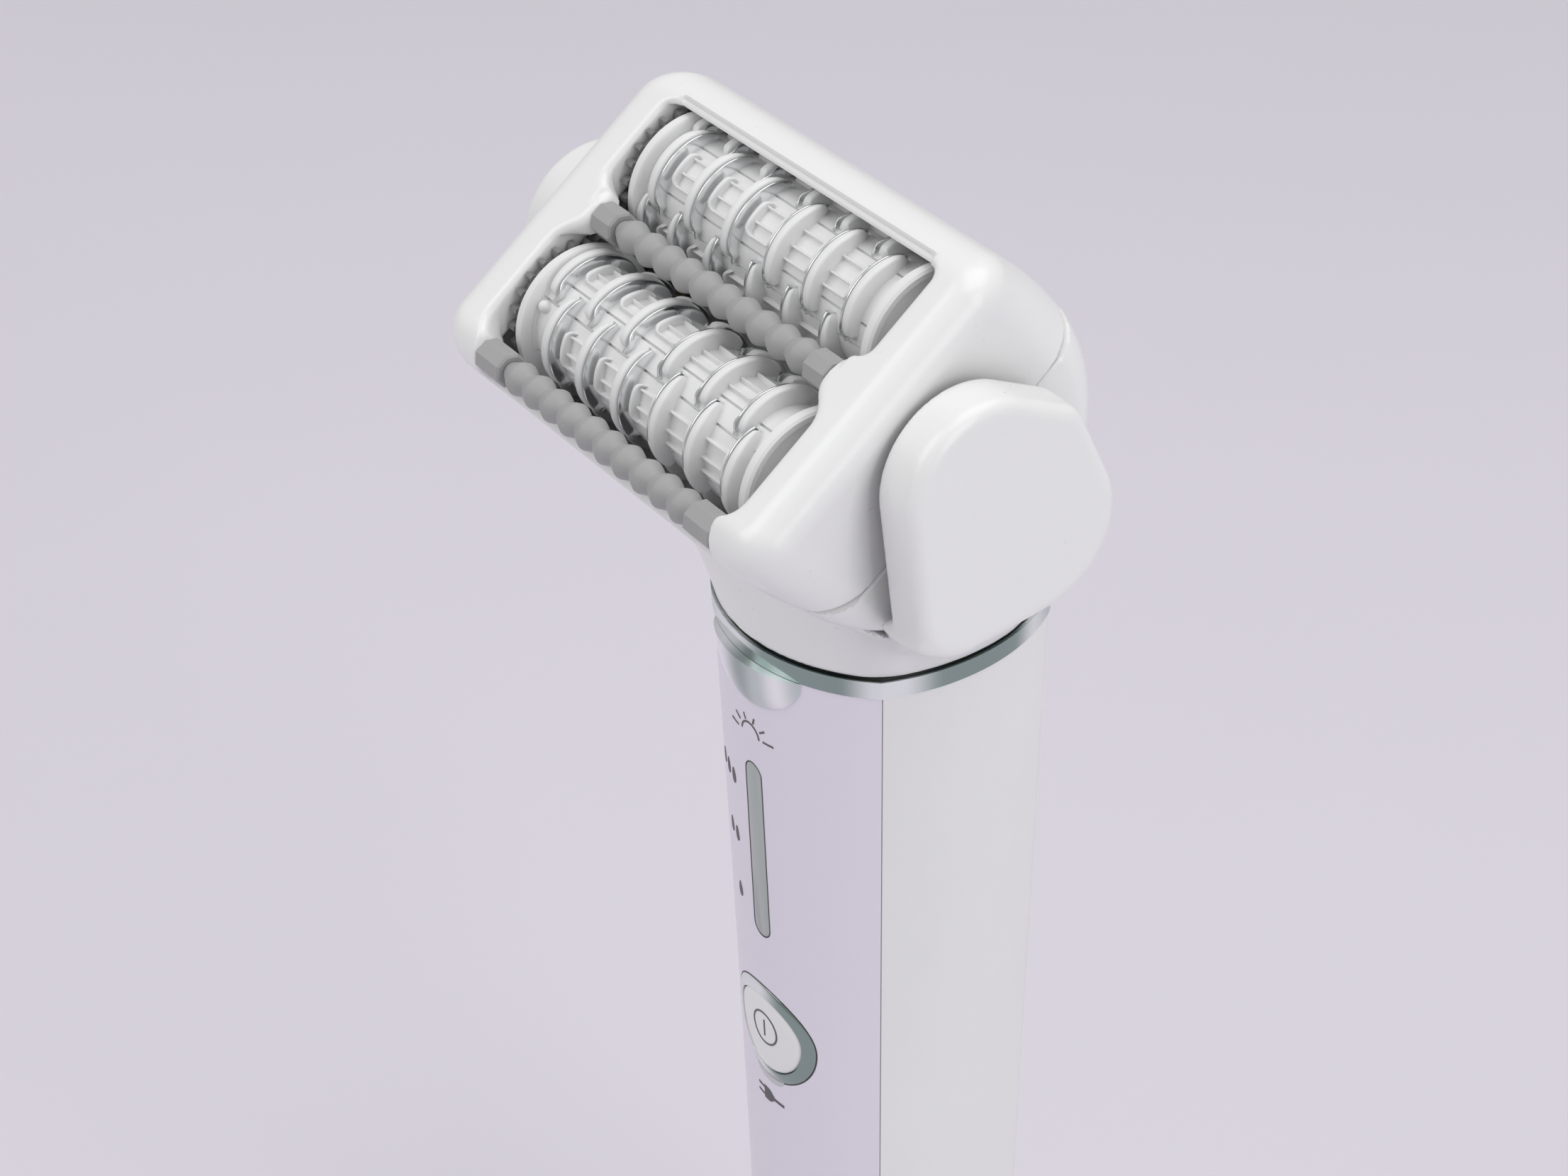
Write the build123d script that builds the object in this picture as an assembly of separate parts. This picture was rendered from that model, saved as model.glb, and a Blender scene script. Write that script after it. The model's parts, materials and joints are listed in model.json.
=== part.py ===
from build123d import *
import os
from math import acos, cos, degrees, hypot, pi, radians, sin, tan

# Epilator with a tilting head: two tweezer drums under a frame with two massage rollers,
# carried between the ears of a yoke that plugs onto a tapered grip.
# Millimetres. +Z up, +X to the right along the drum axes, the front faces -Y,
# the origin is the middle of the flat base face.
os.makedirs("parts", exist_ok=True)

# ---- driving dimensions ----
GRIP_H = 130.0          # base face to the underside of the chrome ring
RING_H = 1.8            # height of the chrome ring
SEAL_H = 0.3            # dark gap between the ring and the collar
COLLAR_Z = GRIP_H + RING_H + SEAL_H
WALL = 1.4              # wall of the moulded shells
GAP = 0.15              # clearance round pieces that slide in a cut-out
RUN = 0.05              # radial running clearance of shafts and pins
FRONT, BACK = 15.5, 13.4            # depth of the ring section from the grip's axis
SEAM_X, SEAM_Y = 12.56, -9.89       # where the front panel meets the back shell
SIDE_X, SIDE_Y = 14.1, -3.0         # widest place of the ring section
REAR_X, REAR_Y = 9.8, 11.2          # rear corner of the ring section
BASE_H = 6.0            # height of the base cap

PIVOT_Y, PIVOT_Z = -10.1, GRIP_H + 28.2     # tilt axis of the head
TILT = 38.0             # lean of the head towards the front
PIVOT_S, PIVOT_N = 0.7, -6.3        # the tilt axis in the head's own frame

# The head's own frame has its origin midway between the drums: X along the drums,
# S from front to back across the face, N out of the face.
DRUM_S = 7.49           # drum axes at S = -DRUM_S and +DRUM_S, N = 0
DISC_R = 6.7            # end discs of a drum
CORE_R = 5.3
FIN_R = 6.9             # crest of the crescent fins
DRUM_X = 17.4           # outer faces of the end discs
DISC_W = 1.0
FIN_W, BLADE_W = 0.92, 0.3
SECTOR_ANGLES = (-77, 0, 77, 180)   # middles of a drum's four rows of fins
AXLE_R = 1.0
BUSH_R = 1.6
FRAME_N = 6.9           # top face of the frame
PART_N = -7.5           # parting plane between the frame and the head base
BARREL_R = 16.4         # head base: a barrel about the tilt axis
BARREL_HALF = 22.2      # half its length
BARREL_FLAT = 16.4      # half the length of its straight middle
BOWL_CLEAR = 0.45       # gap between the barrel and the bowl of the yoke

BEAD_PITCH, BEADS = 2.75, 10
BEAD_R, VALLEY_R = 1.55, 0.98
MID_ROLLER = (-0.1, 5.24)           # roller axes as (S, N)
FRONT_ROLLER = (-15.34, 4.63)
HOLDER_X = 14.1         # inner faces of the roller holders
ROLLER_PIN_R = 0.6

MODULE = 0.5
PRESSURE_ANGLE = 20.0
BACKLASH = 0.05
DRUM_TEETH, IDLER_TEETH, PINION_TEETH = 25, 16, 10
GEAR_X0, GEAR_X1 = -18.6, -17.7
HUB_X0 = -19.1          # left end of the drums' hubs and of the motor shaft
PLATE_X0, PLATE_X1 = 19.4, 20.6     # end plates of the head chassis
EAR_X0, EAR_X1 = 24.2, 28.9         # inner and outer planes of the yoke's ears
HUB_R, PIVOT_PIN_R = 4.0, 2.0
PANEL_GAP, SHELL_GAP = 0.05, 0.15   # front panel and back shell, each side of the seam
LATCH_PROUD, CAP_PROUD, BEZEL_PROUD = 0.4, 0.35, 0.3

BUTTON_Z = GRIP_H - 44.3
WINDOW_Z0, WINDOW_Z1 = GRIP_H - 32.9, GRIP_H - 12.2
RELEASE_Z = GRIP_H - 10.0

HEAD = Pos(0, PIVOT_Y, PIVOT_Z) * Rot(TILT, 0, 0) * Pos(0, -PIVOT_S, -PIVOT_N)


# ---- helpers ----
def save(name, shape):
    export_step(shape, f"parts/{name}.step")


def block(x0, x1, y0, y1, z0, z1):
    return Pos((x0 + x1) / 2, (y0 + y1) / 2, (z0 + z1) / 2) * Box(x1 - x0, y1 - y0, z1 - z0)


def rod(radius, x0, x1, y, z):
    """Cylinder along X."""
    return Pos((x0 + x1) / 2, y, z) * Rot(0, 90, 0) * Cylinder(radius, x1 - x0)


def post(radius, z0, z1, x=0.0, y=0.0):
    """Cylinder along Z."""
    return Pos(x, y, (z0 + z1) / 2) * Cylinder(radius, z1 - z0)


def both_sides(shape):
    return [shape, mirror(shape, about=Plane.YZ)]


def group(shapes):
    """Several separate solids in one node."""
    return Compound([solid for shape in shapes for solid in shape.solids()])


def across(sketch, y0, y1):
    """Prism of an (X, Z) outline, from y0 to y1 along Y."""
    return Pos(0, y1, 0) * extrude(Plane.XZ * sketch, amount=y1 - y0)


# ---- grip ----
def taper(z):
    """Scale of the section's width, front depth and back depth at height z."""
    t = (GRIP_H - z) / GRIP_H
    return 1 - 0.31 * t + 0.09 * t * t, 1 - 0.37 * t + 0.10 * t * t, 1 - 0.05 * t * t


def four_arcs(seam, flank, rear, front_y, back_y, corner):
    """Outline of a front arc, two side arcs and a back arc, with rounded rear corners."""
    outline = make_face(Curve() + [
        ThreePointArc((-seam[0], seam[1]), (0, front_y), seam),
        ThreePointArc(seam, flank, rear),
        ThreePointArc(rear, (0, back_y), (-rear[0], rear[1])),
        ThreePointArc((-rear[0], rear[1]), (-flank[0], flank[1]), (-seam[0], seam[1])),
    ])
    return fillet(outline.vertices().sort_by(Axis.Y)[-2:], corner)


def grip_section(z, grow=0.0):
    side, front, back = taper(z)
    seam = (SEAM_X * side, SEAM_Y * front)
    rear = (REAR_X * side, REAR_Y * back)
    flank = (SIDE_X * side, SIDE_Y * front)
    outline = four_arcs(seam, flank, rear, -FRONT * front, BACK * back, 4.5)
    if grow:
        outline = offset(outline, amount=grow, kind=Kind.INTERSECTION)
    return Pos(0, 0, z) * outline


def grip_solid(grow, z0, z1):
    levels = [z0, (z0 + z1) / 2, z1]
    return loft([grip_section(z, grow).face() for z in levels])


def panel_zone(gap):
    """Everything in front of the seam between the panel and the back shell."""
    levels = [BASE_H - 1, GRIP_H / 2, GRIP_H + 1]
    faces = []
    for z in levels:
        seam_y = SEAM_Y * taper(z)[1] + gap
        faces.append((Pos(0, (seam_y - 30) / 2, z) * Rectangle(60, 30 + seam_y)).face())
    return loft(faces)


def egg(half_width, up, down):
    """Oval that is blunter above its widest place than below, centred near the button's icon."""
    upper = Ellipse(half_width, up) & Pos(0, up / 2) * Rectangle(3 * half_width, up)
    lower = Ellipse(half_width, down) & Pos(0, -down / 2) * Rectangle(3 * half_width, down)
    return Pos(0, BUTTON_Z + 0.1) * (upper + lower)


BUTTON_EGG = (4.8, 3.6, 5.2)        # half width, height above and depth below the widest place
bezel_outline = egg(6.2, 4.8, 6.4)
button_outline = egg(*BUTTON_EGG)
button_hole = egg(*[reach + GAP for reach in BUTTON_EGG])
lens_outline = Pos(0, GRIP_H) * Ellipse(6.6, 5.0)
window_outline = Pos(0, (WINDOW_Z0 + WINDOW_Z1) / 2) * SlotOverall(
    WINDOW_Z1 - WINDOW_Z0, 2.6, rotation=90)
charge_outline = Pos(0, BUTTON_Z - 5.9) * Ellipse(2.2, 1.2) - bezel_outline

outer = grip_solid(0, 0, GRIP_H)
skin = outer - grip_solid(-WALL, -1, GRIP_H + 1)
upper_skin = skin & block(-30, 30, -30, 30, BASE_H, GRIP_H)
face_y = -FRONT - 3
panel_outlines = [bezel_outline, lens_outline, window_outline, charge_outline]
panel_cuts = [across(outline, face_y, -5) for outline in panel_outlines]

front_panel = upper_skin & panel_zone(PANEL_GAP)
for cut in panel_cuts:
    front_panel = front_panel - cut
save("front_panel", front_panel)

release_outline = Pos(0, RELEASE_Z) * RectangleRounded(13.0, 6.5, 2.8)
back_shell = (upper_skin - panel_zone(SHELL_GAP)) - across(offset(release_outline, amount=GAP), 5, 20)
save("back_shell", back_shell)

# Charging inlet in the base: an oval recess with a contact blade at each end.
INLET_X, INLET_Y, INLET_DEEP = 10.0, 5.2, 7.0
INLET_CY = 5.2          # the inlet lies behind the middle of the base face
SOCKET_X, SOCKET_Y, SOCKET_R = INLET_X + 2.4, INLET_Y + 2.4, 2.4
base_cap = outer & block(-30, 30, -30, 30, 0, BASE_H - 0.05)
base_cap = fillet(base_cap.edges().group_by(Axis.Z)[0], 1.6)
base_plug = grip_solid(-WALL - 0.1, 2, BASE_H + 3) & block(-30, 30, -30, 30, 2, BASE_H + 3)
socket_hole = Pos(0, INLET_CY, 0) * extrude(RectangleRounded(SOCKET_X, SOCKET_Y, SOCKET_R), amount=12)
base_cap = base_cap + base_plug - Pos(0, 0, -1) * socket_hole
save("base_cap", base_cap)

socket_body = Pos(0, INLET_CY, 0) * extrude(RectangleRounded(SOCKET_X, SOCKET_Y, SOCKET_R), amount=9.5)
inlet_hole = Pos(0, INLET_CY, -1) * extrude(RectangleRounded(INLET_X, INLET_Y, 2.3), amount=INLET_DEEP + 1)
blade = block(4.0, 4.5, INLET_CY - 1.0, INLET_CY + 1.0, 1.5, 12.5)
charging_socket = socket_body - inlet_hole - blade - mirror(blade, about=Plane.YZ)
save("charging_socket", charging_socket)
save("socket_blades", group(both_sides(blade)))

# ---- grip: trim on the front panel ----
relief_band = grip_solid(BEZEL_PROUD, 40, GRIP_H) - grip_solid(-WALL - 0.4, 39, GRIP_H + 1)
button_bezel = (relief_band & across(bezel_outline, face_y, -5)) - across(button_hole, face_y, -5)
save("button_bezel", button_bezel)

button_cap = grip_solid(CAP_PROUD, 40, GRIP_H) - grip_solid(-1.6, 39, GRIP_H + 1)
power_button = (button_cap & across(button_outline, face_y, -5)) + Pos(0, -11.4, BUTTON_Z) * (
    Rot(90, 0, 0) * Cylinder(1.5, 2.4))
save("power_button", power_button)

flush_band = grip_solid(0.05, 40, GRIP_H) - grip_solid(-1.0, 39, GRIP_H + 1)
save("level_window", flush_band & across(window_outline, face_y, -5))
save("charge_window", flush_band & across(charge_outline, face_y, -5))

lens_band = grip_solid(0.6, 110, GRIP_H) - grip_solid(-WALL - 0.2, 109, GRIP_H + 1)
light_lens = lens_band & across(lens_outline, face_y, -5) & block(-30, 30, -30, 0, 100, GRIP_H)
save("light_lens", light_lens)

# ---- grip: top ----
def neck_ring(z0, z1, grow):
    """Ring with the outline of the grip's top section."""
    return grip_solid(grow, z0, z1) - grip_solid(-2.2, z0 - 1, z1 + 1)


save("chrome_ring", neck_ring(GRIP_H, GRIP_H + RING_H, 0.15))
save("neck_seal", neck_ring(GRIP_H + RING_H, COLLAR_Z, -0.45))

SPIGOT_R = 7.6
SPIGOT_TOP = 138.4
SPRING_Y0, SPRING_Y1 = 7.4, 9.3
top_deck = extrude(grip_section(GRIP_H - 4, -WALL - 0.15), amount=3.9) & block(-30, 30, -30, 30, 0, GRIP_H)
lens_pocket = block(-7.2, 7.2, -16, -9.6, GRIP_H - 6, GRIP_H + 1)
latch_pocket = block(-7.2, 7.2, 8.4, 16, GRIP_H - 6, GRIP_H + 1)
battery_bay = block(-8.4, 8.4, -5.6, -4.2, 14, GRIP_H - 3.8) - block(-6, 6, -6, -4, 75, 100)
spring_seat = block(-4, 4, 6.6, SPRING_Y0, RELEASE_Z - 4, GRIP_H - 3.8)
inner_frame = (top_deck - lens_pocket - latch_pocket) + battery_bay + spring_seat
inner_frame = inner_frame + post(SPIGOT_R, GRIP_H - 1, SPIGOT_TOP - 1.2)
inner_frame = inner_frame - post(2.6, GRIP_H - 5, SPIGOT_TOP)

contact_block = post(5.4, SPIGOT_TOP - 1.2, SPIGOT_TOP - 0.1) + post(2.5, GRIP_H - 3, SPIGOT_TOP - 1.2)
contact_pins = [post(0.45, GRIP_H - 4.5, SPIGOT_TOP, x, 0) for x in (-1.5, 1.5)]
save("contact_block", contact_block - contact_pins[0] - contact_pins[1])
save("contact_pins", group(contact_pins))

BATTERY_R, BATTERY_Y = 6.9, 3.2
save("battery_cell", post(BATTERY_R, 16, 65, 0, BATTERY_Y) + post(2.2, 65, 66, 0, BATTERY_Y))
BOARD_Y0, BOARD_Y1 = -7.6, -6.6
board_corners = [(x, z) for x in (-6.2, 6.2) for z in (42, 117)]


def stud(radius, y0, y1, x, z):
    """Cylinder along Y."""
    return Pos(x, (y0 + y1) / 2, z) * Rot(90, 0, 0) * Cylinder(radius, y1 - y0)


board = block(-7.5, 7.5, BOARD_Y0, BOARD_Y1, 38, 122)
board_screws = []
for x, z in board_corners:
    shank = stud(0.6, BOARD_Y0, -4.5, x, z)
    board = board - shank
    inner_frame = inner_frame + stud(1.2, BOARD_Y1, -5.5, x, z) - shank
    board_screws.append(shank + stud(1.1, BOARD_Y0 - 0.7, BOARD_Y0, x, z))
save("inner_frame", inner_frame)
save("circuit_board", board)
save("board_screws", group(board_screws))
save("power_switch", block(-3, 3, -9.3, -7.6, BUTTON_Z - 3, BUTTON_Z + 3))
save("light_led", block(-1.6, 1.6, -8.6, -7.6, GRIP_H - 12, GRIP_H - 9))

# Latch that frees the head unit, pushed in from the back of the grip.
button_skin = grip_solid(LATCH_PROUD, 100, GRIP_H) - grip_solid(-1.5, 99, GRIP_H + 1)
latch_face = button_skin & across(release_outline, 5, 20)
latch_stem = block(-2, 2, 9.3, 12.6, RELEASE_Z - 1.5, RELEASE_Z + 1.5)
save("release_button", latch_face + latch_stem)

SPRING_R, SPRING_WIRE, SPRING_TURNS = 1.3, 0.16, 4
coil_height = SPRING_Y1 - SPRING_Y0 - 2 * SPRING_WIRE
coil = Helix(pitch=coil_height / SPRING_TURNS, height=coil_height, radius=SPRING_R)
coil_wire = sweep(Plane(coil @ 0, z_dir=coil % 0) * Circle(SPRING_WIRE), path=coil)
save("release_spring", Pos(0, SPRING_Y1 - SPRING_WIRE, RELEASE_Z) * Rot(90, 0, 0) * coil_wire)


# ---- yoke ----
def barrel(clear, half_length):
    """Body of the head base, turned about the tilt axis; clear grows it evenly."""
    end = (half_length, BARREL_R - 4.0 + clear)
    knee = (half_length - 1.35, BARREL_R - 1.65 + clear)
    crown = (BARREL_FLAT, BARREL_R + clear)
    left_end, left_knee, left_crown = [(-x, r) for x, r in (end, knee, crown)]
    profile = make_face(Curve() + [
        Polyline([(-half_length, 0), (half_length, 0), end]),
        ThreePointArc(end, knee, crown),
        Line(crown, left_crown),
        ThreePointArc(left_crown, left_knee, left_end),
        Line(left_end, (-half_length, 0)),
    ])
    return revolve(profile, Axis.X)


def ear_outline(grow):
    """Leaning, rounded side disc of the yoke in the (Y, Z) plane."""
    discs = [(-11.7, 30.3, 7.7), (-4.8, 32.2, 3.0), (-6.1, 24.0, 7.7), (-13.6, 19.6, 4.5)]
    edges = [Pos(y, z + GRIP_H) * Circle(r + grow).edge() for y, z, r in discs]
    return make_hull(edges)


FLARE_Z = GRIP_H + 17.0     # top of the flare, and floor of the room between the arms
ear = extrude(Plane.YZ * ear_outline(0), amount=EAR_X1 - EAR_X0)
ear = fillet(ear.edges().group_by(Axis.X)[-1], 1.0)
ears = both_sides(Pos(EAR_X0, 0, 0) * ear)
collar_low = Pos(0, 0, COLLAR_Z - GRIP_H) * grip_section(GRIP_H)
shoulder = four_arcs((28.2, -17.9), (28.8, -9.0), (26.4, 0.2), -18.6, 0.8, 4.5)
flare = loft([collar_low.face(), (Pos(0, 0, FLARE_Z) * shoulder).face()])

at_pivot = Pos(0, PIVOT_Y, PIVOT_Z)
bowl = at_pivot * barrel(BOWL_CLEAR, BARREL_HALF + BOWL_CLEAR)
head_room = block(-EAR_X0, EAR_X0, -40, 20, PIVOT_Z - 11.2, PIVOT_Z + 20)
arm_room = block(-22.7, 22.7, -40, 20, FLARE_Z, PIVOT_Z)
yoke = flare + ears[0] + ears[1] - bowl - head_room - arm_room

pocket_side = extrude(Plane.YZ * ear_outline(-1.8), amount=EAR_X1 - 1.7 - EAR_X0 + 1)
pocket_side = pocket_side & block(0, 10, -40, 20, PIVOT_Z - 10, PIVOT_Z + 20)
ear_boss = rod(5.0, 23.7, EAR_X1 - 1.5, PIVOT_Y, PIVOT_Z)
for pocket, boss in zip(both_sides(Pos(EAR_X0 - 1, 0, 0) * pocket_side), both_sides(ear_boss)):
    yoke = yoke - pocket + boss
pins = both_sides(rod(PIVOT_PIN_R, PLATE_X1 + 0.2, 26.6, PIVOT_Y, PIVOT_Z))
spigot_room = post(SPIGOT_R + 0.3, COLLAR_Z - 1, SPIGOT_TOP + 0.6)
yoke = yoke - pins[0] - pins[1] - spigot_room
save("yoke", yoke)
save("pivot_pins", group(pins))
contact_pad = block(0.7, 2.3, -0.8, 0.8, SPIGOT_TOP + 0.1, SPIGOT_TOP + 0.6)
save("contact_pads", group(both_sides(contact_pad)))

detent = rod(7.0, EAR_X1 - 3.0, EAR_X1 - 1.75, PIVOT_Y, PIVOT_Z) - rod(5.0, 20, 30, PIVOT_Y, PIVOT_Z)
save("detent_discs", group(both_sides(detent)))


# ---- head: frame ----
def frame_solid(sections):
    faces = []
    for n, half_x, front_s, back_s, corner in sections:
        outline = RectangleRounded(2 * half_x, back_s - front_s, corner)
        faces.append((Pos(0, (front_s + back_s) / 2, n) * outline).face())
    return loft(faces)


frame_body = frame_solid([
    (PART_N, BARREL_HALF, -15.7, 17.0, 5.4),
    (0.0, 23.0, -16.9, 16.2, 4.6),
    (FRAME_N, 24.6, -17.2, 14.4, 3.8),
])
frame_body = fillet(frame_body.edges().group_by(Axis.Z)[-1], 2.0)
frame_cavity = frame_solid([
    (PART_N - 0.5, 20.9, -14.6, 15.6, 2.9),
    (0.0, 21.4, -15.3, 15.0, 2.9),
    (4.6, 21.6, -15.4, 13.2, 2.9),
])
DRUM_CLEAR = 0.35
window_back = block(-18.8, 19.1, 2.2, 11.4, 0, 10)
window_front = block(-18.8, 19.1, -14.3, -2.2, 0, 10)
bridge = block(-16.9, 16.9, -2.3, 2.3, 0, 10)
front_mouth = block(-17.7, 17.7, -20, -14.2, 1.9, 10)
drum_rooms = [rod(FIN_R + DRUM_CLEAR, -19.25, 19.25, s, 0) for s in (-DRUM_S, DRUM_S)]
hub_slot = rod(HUB_R + 0.3, -24, 24, PIVOT_S, PIVOT_N) + block(
    -24, 24, PIVOT_S - HUB_R - 0.3, PIVOT_S + HUB_R + 0.3, PART_N - 1, PIVOT_N)
head_frame = frame_body - frame_cavity
for cut in [window_back, window_front, bridge, front_mouth, hub_slot] + drum_rooms:
    head_frame = head_frame - cut
save("head_frame", HEAD * head_frame)

# ---- head: base and chassis ----
SCREW_N = -18.6         # underside of the chassis screws' heads
barrel_at = Pos(0, PIVOT_S, PIVOT_N)
lower_half = block(-30, 30, -30, 30, -30, PART_N - 0.05)
head_base = barrel_at * (barrel(0, BARREL_HALF) - barrel(-1.3, BARREL_HALF - 1.3)) & lower_half
head_base = head_base - hub_slot
chassis_screws = []
for x in (-16.7, 16.7):
    for s in (-6.9, 6.9):
        head_base = head_base + post(1.7, -18.9, -14.05, x, s) - post(1.3, -30, SCREW_N, x, s)
        head_base = head_base - post(0.7, -20, -12, x, s)
        chassis_screws.append(post(0.7, SCREW_N, -12.6, x, s) + post(1.2, SCREW_N - 0.9, SCREW_N, x, s))
save("head_base", HEAD * head_base)
save("chassis_screws", HEAD * group(chassis_screws))

MOTOR = (0.0, -13.5)
IDLER = (0.0, -7.0)
MOTOR_R = 6.0


def end_plate(side):
    """End plate of the chassis with drum axle seats and the pivot hub."""
    drum_seats = [(-DRUM_S, 0, 2.6), (DRUM_S, 0, 2.6)]
    rail_seats = [(-6.8, -13.2, 1.2), (6.8, -13.2, 1.2)]
    seats = drum_seats + rail_seats + [(*MOTOR, 4.4)]
    outline = make_hull([Pos(s, n) * Circle(r).edge() for s, n, r in seats])
    plate = Pos(PLATE_X0, 0, 0) * extrude(Plane.YZ * outline, amount=PLATE_X1 - PLATE_X0)
    plate = plate + rod(HUB_R, PLATE_X1 - 0.1, 23.4, PIVOT_S, PIVOT_N)
    plate = plate - rod(PIVOT_PIN_R + RUN, PLATE_X1 + 0.1, 24, PIVOT_S, PIVOT_N)
    if side < 0:
        plate = mirror(plate, about=Plane.YZ)
    return plate


saddles = [rod(MOTOR_R + 1.1, x, x + 2, *MOTOR) - rod(MOTOR_R, x - 1, x + 3, *MOTOR) for x in (-13.5, 6.0)]
chassis = end_plate(1) + end_plate(-1) + saddles[0] + saddles[1]
for s in (-6.9, 6.9):
    chassis = chassis + block(-PLATE_X0 - 0.2, PLATE_X0 + 0.2, s - 0.8, s + 0.8, -14.0, -12.4)
axle_rods = [rod(AXLE_R, -PLATE_X1, PLATE_X1, s, 0) for s in (-DRUM_S, DRUM_S)]
idler_post = rod(0.8, -PLATE_X1, GEAR_X1 + 0.6, *IDLER)
for screw in chassis_screws:
    chassis = chassis - screw
chassis = chassis - axle_rods[0] - axle_rods[1] - idler_post - rod(MOTOR_R, -15, 9, *MOTOR)
save("head_chassis", HEAD * chassis)
save("front_drum_axle", HEAD * axle_rods[0])
save("back_drum_axle", HEAD * axle_rods[1])
save("idler_post", HEAD * idler_post)


# ---- head: gears and motor ----
def involute(radius, base_radius):
    """Polar angle of an involute at a radius."""
    pressure = acos(min(1, base_radius / radius))
    return tan(pressure) - pressure


def gear(teeth, s, n, phase, bore):
    """Spur gear about X with one tooth centred on the angle phase, from +S towards +N."""
    pitch_r = MODULE * teeth / 2
    base_r = pitch_r * cos(radians(PRESSURE_ANGLE))
    root_r, tip_r = pitch_r - MODULE, pitch_r + 0.7 * MODULE
    half = pi / (2 * teeth) - BACKLASH / pitch_r + involute(pitch_r, base_r)
    radii = [root_r, max(base_r, root_r), (pitch_r + base_r) / 2, pitch_r, tip_r]
    points = []
    for tooth in range(teeth):
        centre = radians(phase) + 2 * pi * tooth / teeth
        rising = [(r, centre - half + involute(r, base_r)) for r in radii]
        falling = [(r, centre + half - involute(r, base_r)) for r in reversed(radii)]
        points += [(r * cos(a), r * sin(a)) for r, a in rising + falling]
    blank = extrude(Plane.YZ * make_face(Polyline(points, close=True)), amount=GEAR_X1 - GEAR_X0)
    wheel = Pos(GEAR_X0, s, n) * blank
    return wheel - rod(bore, GEAR_X0 - 1, GEAR_X1 + 1, s, n)


def meshed_phase(teeth_a, centre_a, phase_a, teeth_b, centre_b):
    """Phase of gear b that puts its tooth gap on gear a's tooth."""
    ds, dn = centre_b[0] - centre_a[0], centre_b[1] - centre_a[1]
    line = degrees(acos(ds / hypot(ds, dn))) * (1 if dn >= 0 else -1)
    pitch_a, pitch_b = 360 / teeth_a, 360 / teeth_b
    offset_a = ((phase_a - line) / pitch_a) % 1
    return line + 180 + (0.5 - offset_a) * pitch_b


idler_phase = -90.0
front_phase = meshed_phase(IDLER_TEETH, IDLER, idler_phase, DRUM_TEETH, (-DRUM_S, 0))
back_phase = meshed_phase(IDLER_TEETH, IDLER, idler_phase, DRUM_TEETH, (DRUM_S, 0))
pinion_phase = meshed_phase(IDLER_TEETH, IDLER, idler_phase, PINION_TEETH, MOTOR)
save("idler_gear", HEAD * gear(IDLER_TEETH, *IDLER, idler_phase, 0.8 + RUN))
save("motor_pinion", HEAD * gear(PINION_TEETH, *MOTOR, pinion_phase, 0.75))

motor_can = rod(MOTOR_R, -14.5, 8.5, *MOTOR) + rod(2.2, -15.6, -14.5, *MOTOR)
save("motor", HEAD * (motor_can - rod(0.75 + RUN, -16, -11, *MOTOR)))
save("motor_shaft", HEAD * rod(0.75, HUB_X0, -11.1, *MOTOR))


# ---- head: drums ----
# Places along the drum of the fins left and right of the middle, in even and in odd rows.
FRONT_FINS = {
    0: ((-12.5, -7.2, -1.8), (4.0, 9.2, 14.6)),
    1: ((-15.3, -9.9, -4.5), (1.9, 7.4, 12.9)),
}
BACK_FINS = {
    0: ((-15.7, -11.0, -5.6), (0.8, 6.0, 11.3)),
    1: ((-14.4, -9.0, -3.5), (2.9, 8.3, 13.7)),
}
FIN_CURVE = 3.69        # radius of a fin's crest
FRONT_PHASE, BACK_PHASE = 52.0, 93.5


def crescent(x0, x1, angle):
    """Crescent that stands highest in its middle and sinks into the core at its ends."""
    out = FIN_R - FIN_CURVE
    return rod(FIN_CURVE, x0, x1, out * cos(radians(angle)), out * sin(radians(angle)))


def drum(s, name, phase, fins):
    core = rod(CORE_R, -DRUM_X, DRUM_X, 0, 0)
    body = core + rod(DISC_R, DRUM_X - DISC_W, DRUM_X, 0, 0) + rod(DISC_R, -DRUM_X, DISC_W - DRUM_X, 0, 0)
    blades = []
    for row, turn in enumerate(SECTOR_ANGLES):
        angle = phase + turn
        for towards_middle, places in zip((1, -1), fins[row % 2]):
            for x in places:
                body = body + crescent(x - FIN_W / 2, x + FIN_W / 2, angle)
                near = x + towards_middle * FIN_W / 2
                far = near + towards_middle * BLADE_W
                blades.append(crescent(min(near, far), max(near, far), angle) - core)
    body = body + rod(HUB_LEFT_R, HUB_X0, -DRUM_X, 0, 0) + rod(HUB_RIGHT_R, DRUM_X, PLATE_X0 - 0.3, 0, 0)
    bushes = [rod(BUSH_R, x, x + BUSH_LONG, 0, 0) for x in (HUB_X0, PLATE_X0 - 0.3 - BUSH_LONG)]
    body = body - rod(AXLE_R + 0.3, -25, 25, 0, 0) - bushes[0] - bushes[1]
    place = HEAD * Pos(0, s, 0)
    save(f"{name}_drum", place * body)
    save(f"{name}_tweezers", place * group(blades))
    save(f"{name}_drum_bushes", place * group([b - rod(AXLE_R + RUN, -25, 25, 0, 0) for b in bushes]))


HUB_LEFT_R, HUB_RIGHT_R, BUSH_LONG = 3.2, 2.6, 3.0
drum(-DRUM_S, "front", FRONT_PHASE, FRONT_FINS)
drum(DRUM_S, "back", BACK_PHASE, BACK_FINS)
save("front_drum_gear", HEAD * gear(DRUM_TEETH, -DRUM_S, 0, front_phase, HUB_LEFT_R))
save("back_drum_gear", HEAD * gear(DRUM_TEETH, DRUM_S, 0, back_phase, HUB_LEFT_R))


# ---- head: rollers ----
CREST_HALF, CREST_DROP = 0.35, 0.06         # soft crest of a bead
STUB_R, HOLDER_ACROSS = 0.9, 1.5
PIN_END = 16.0


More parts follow.
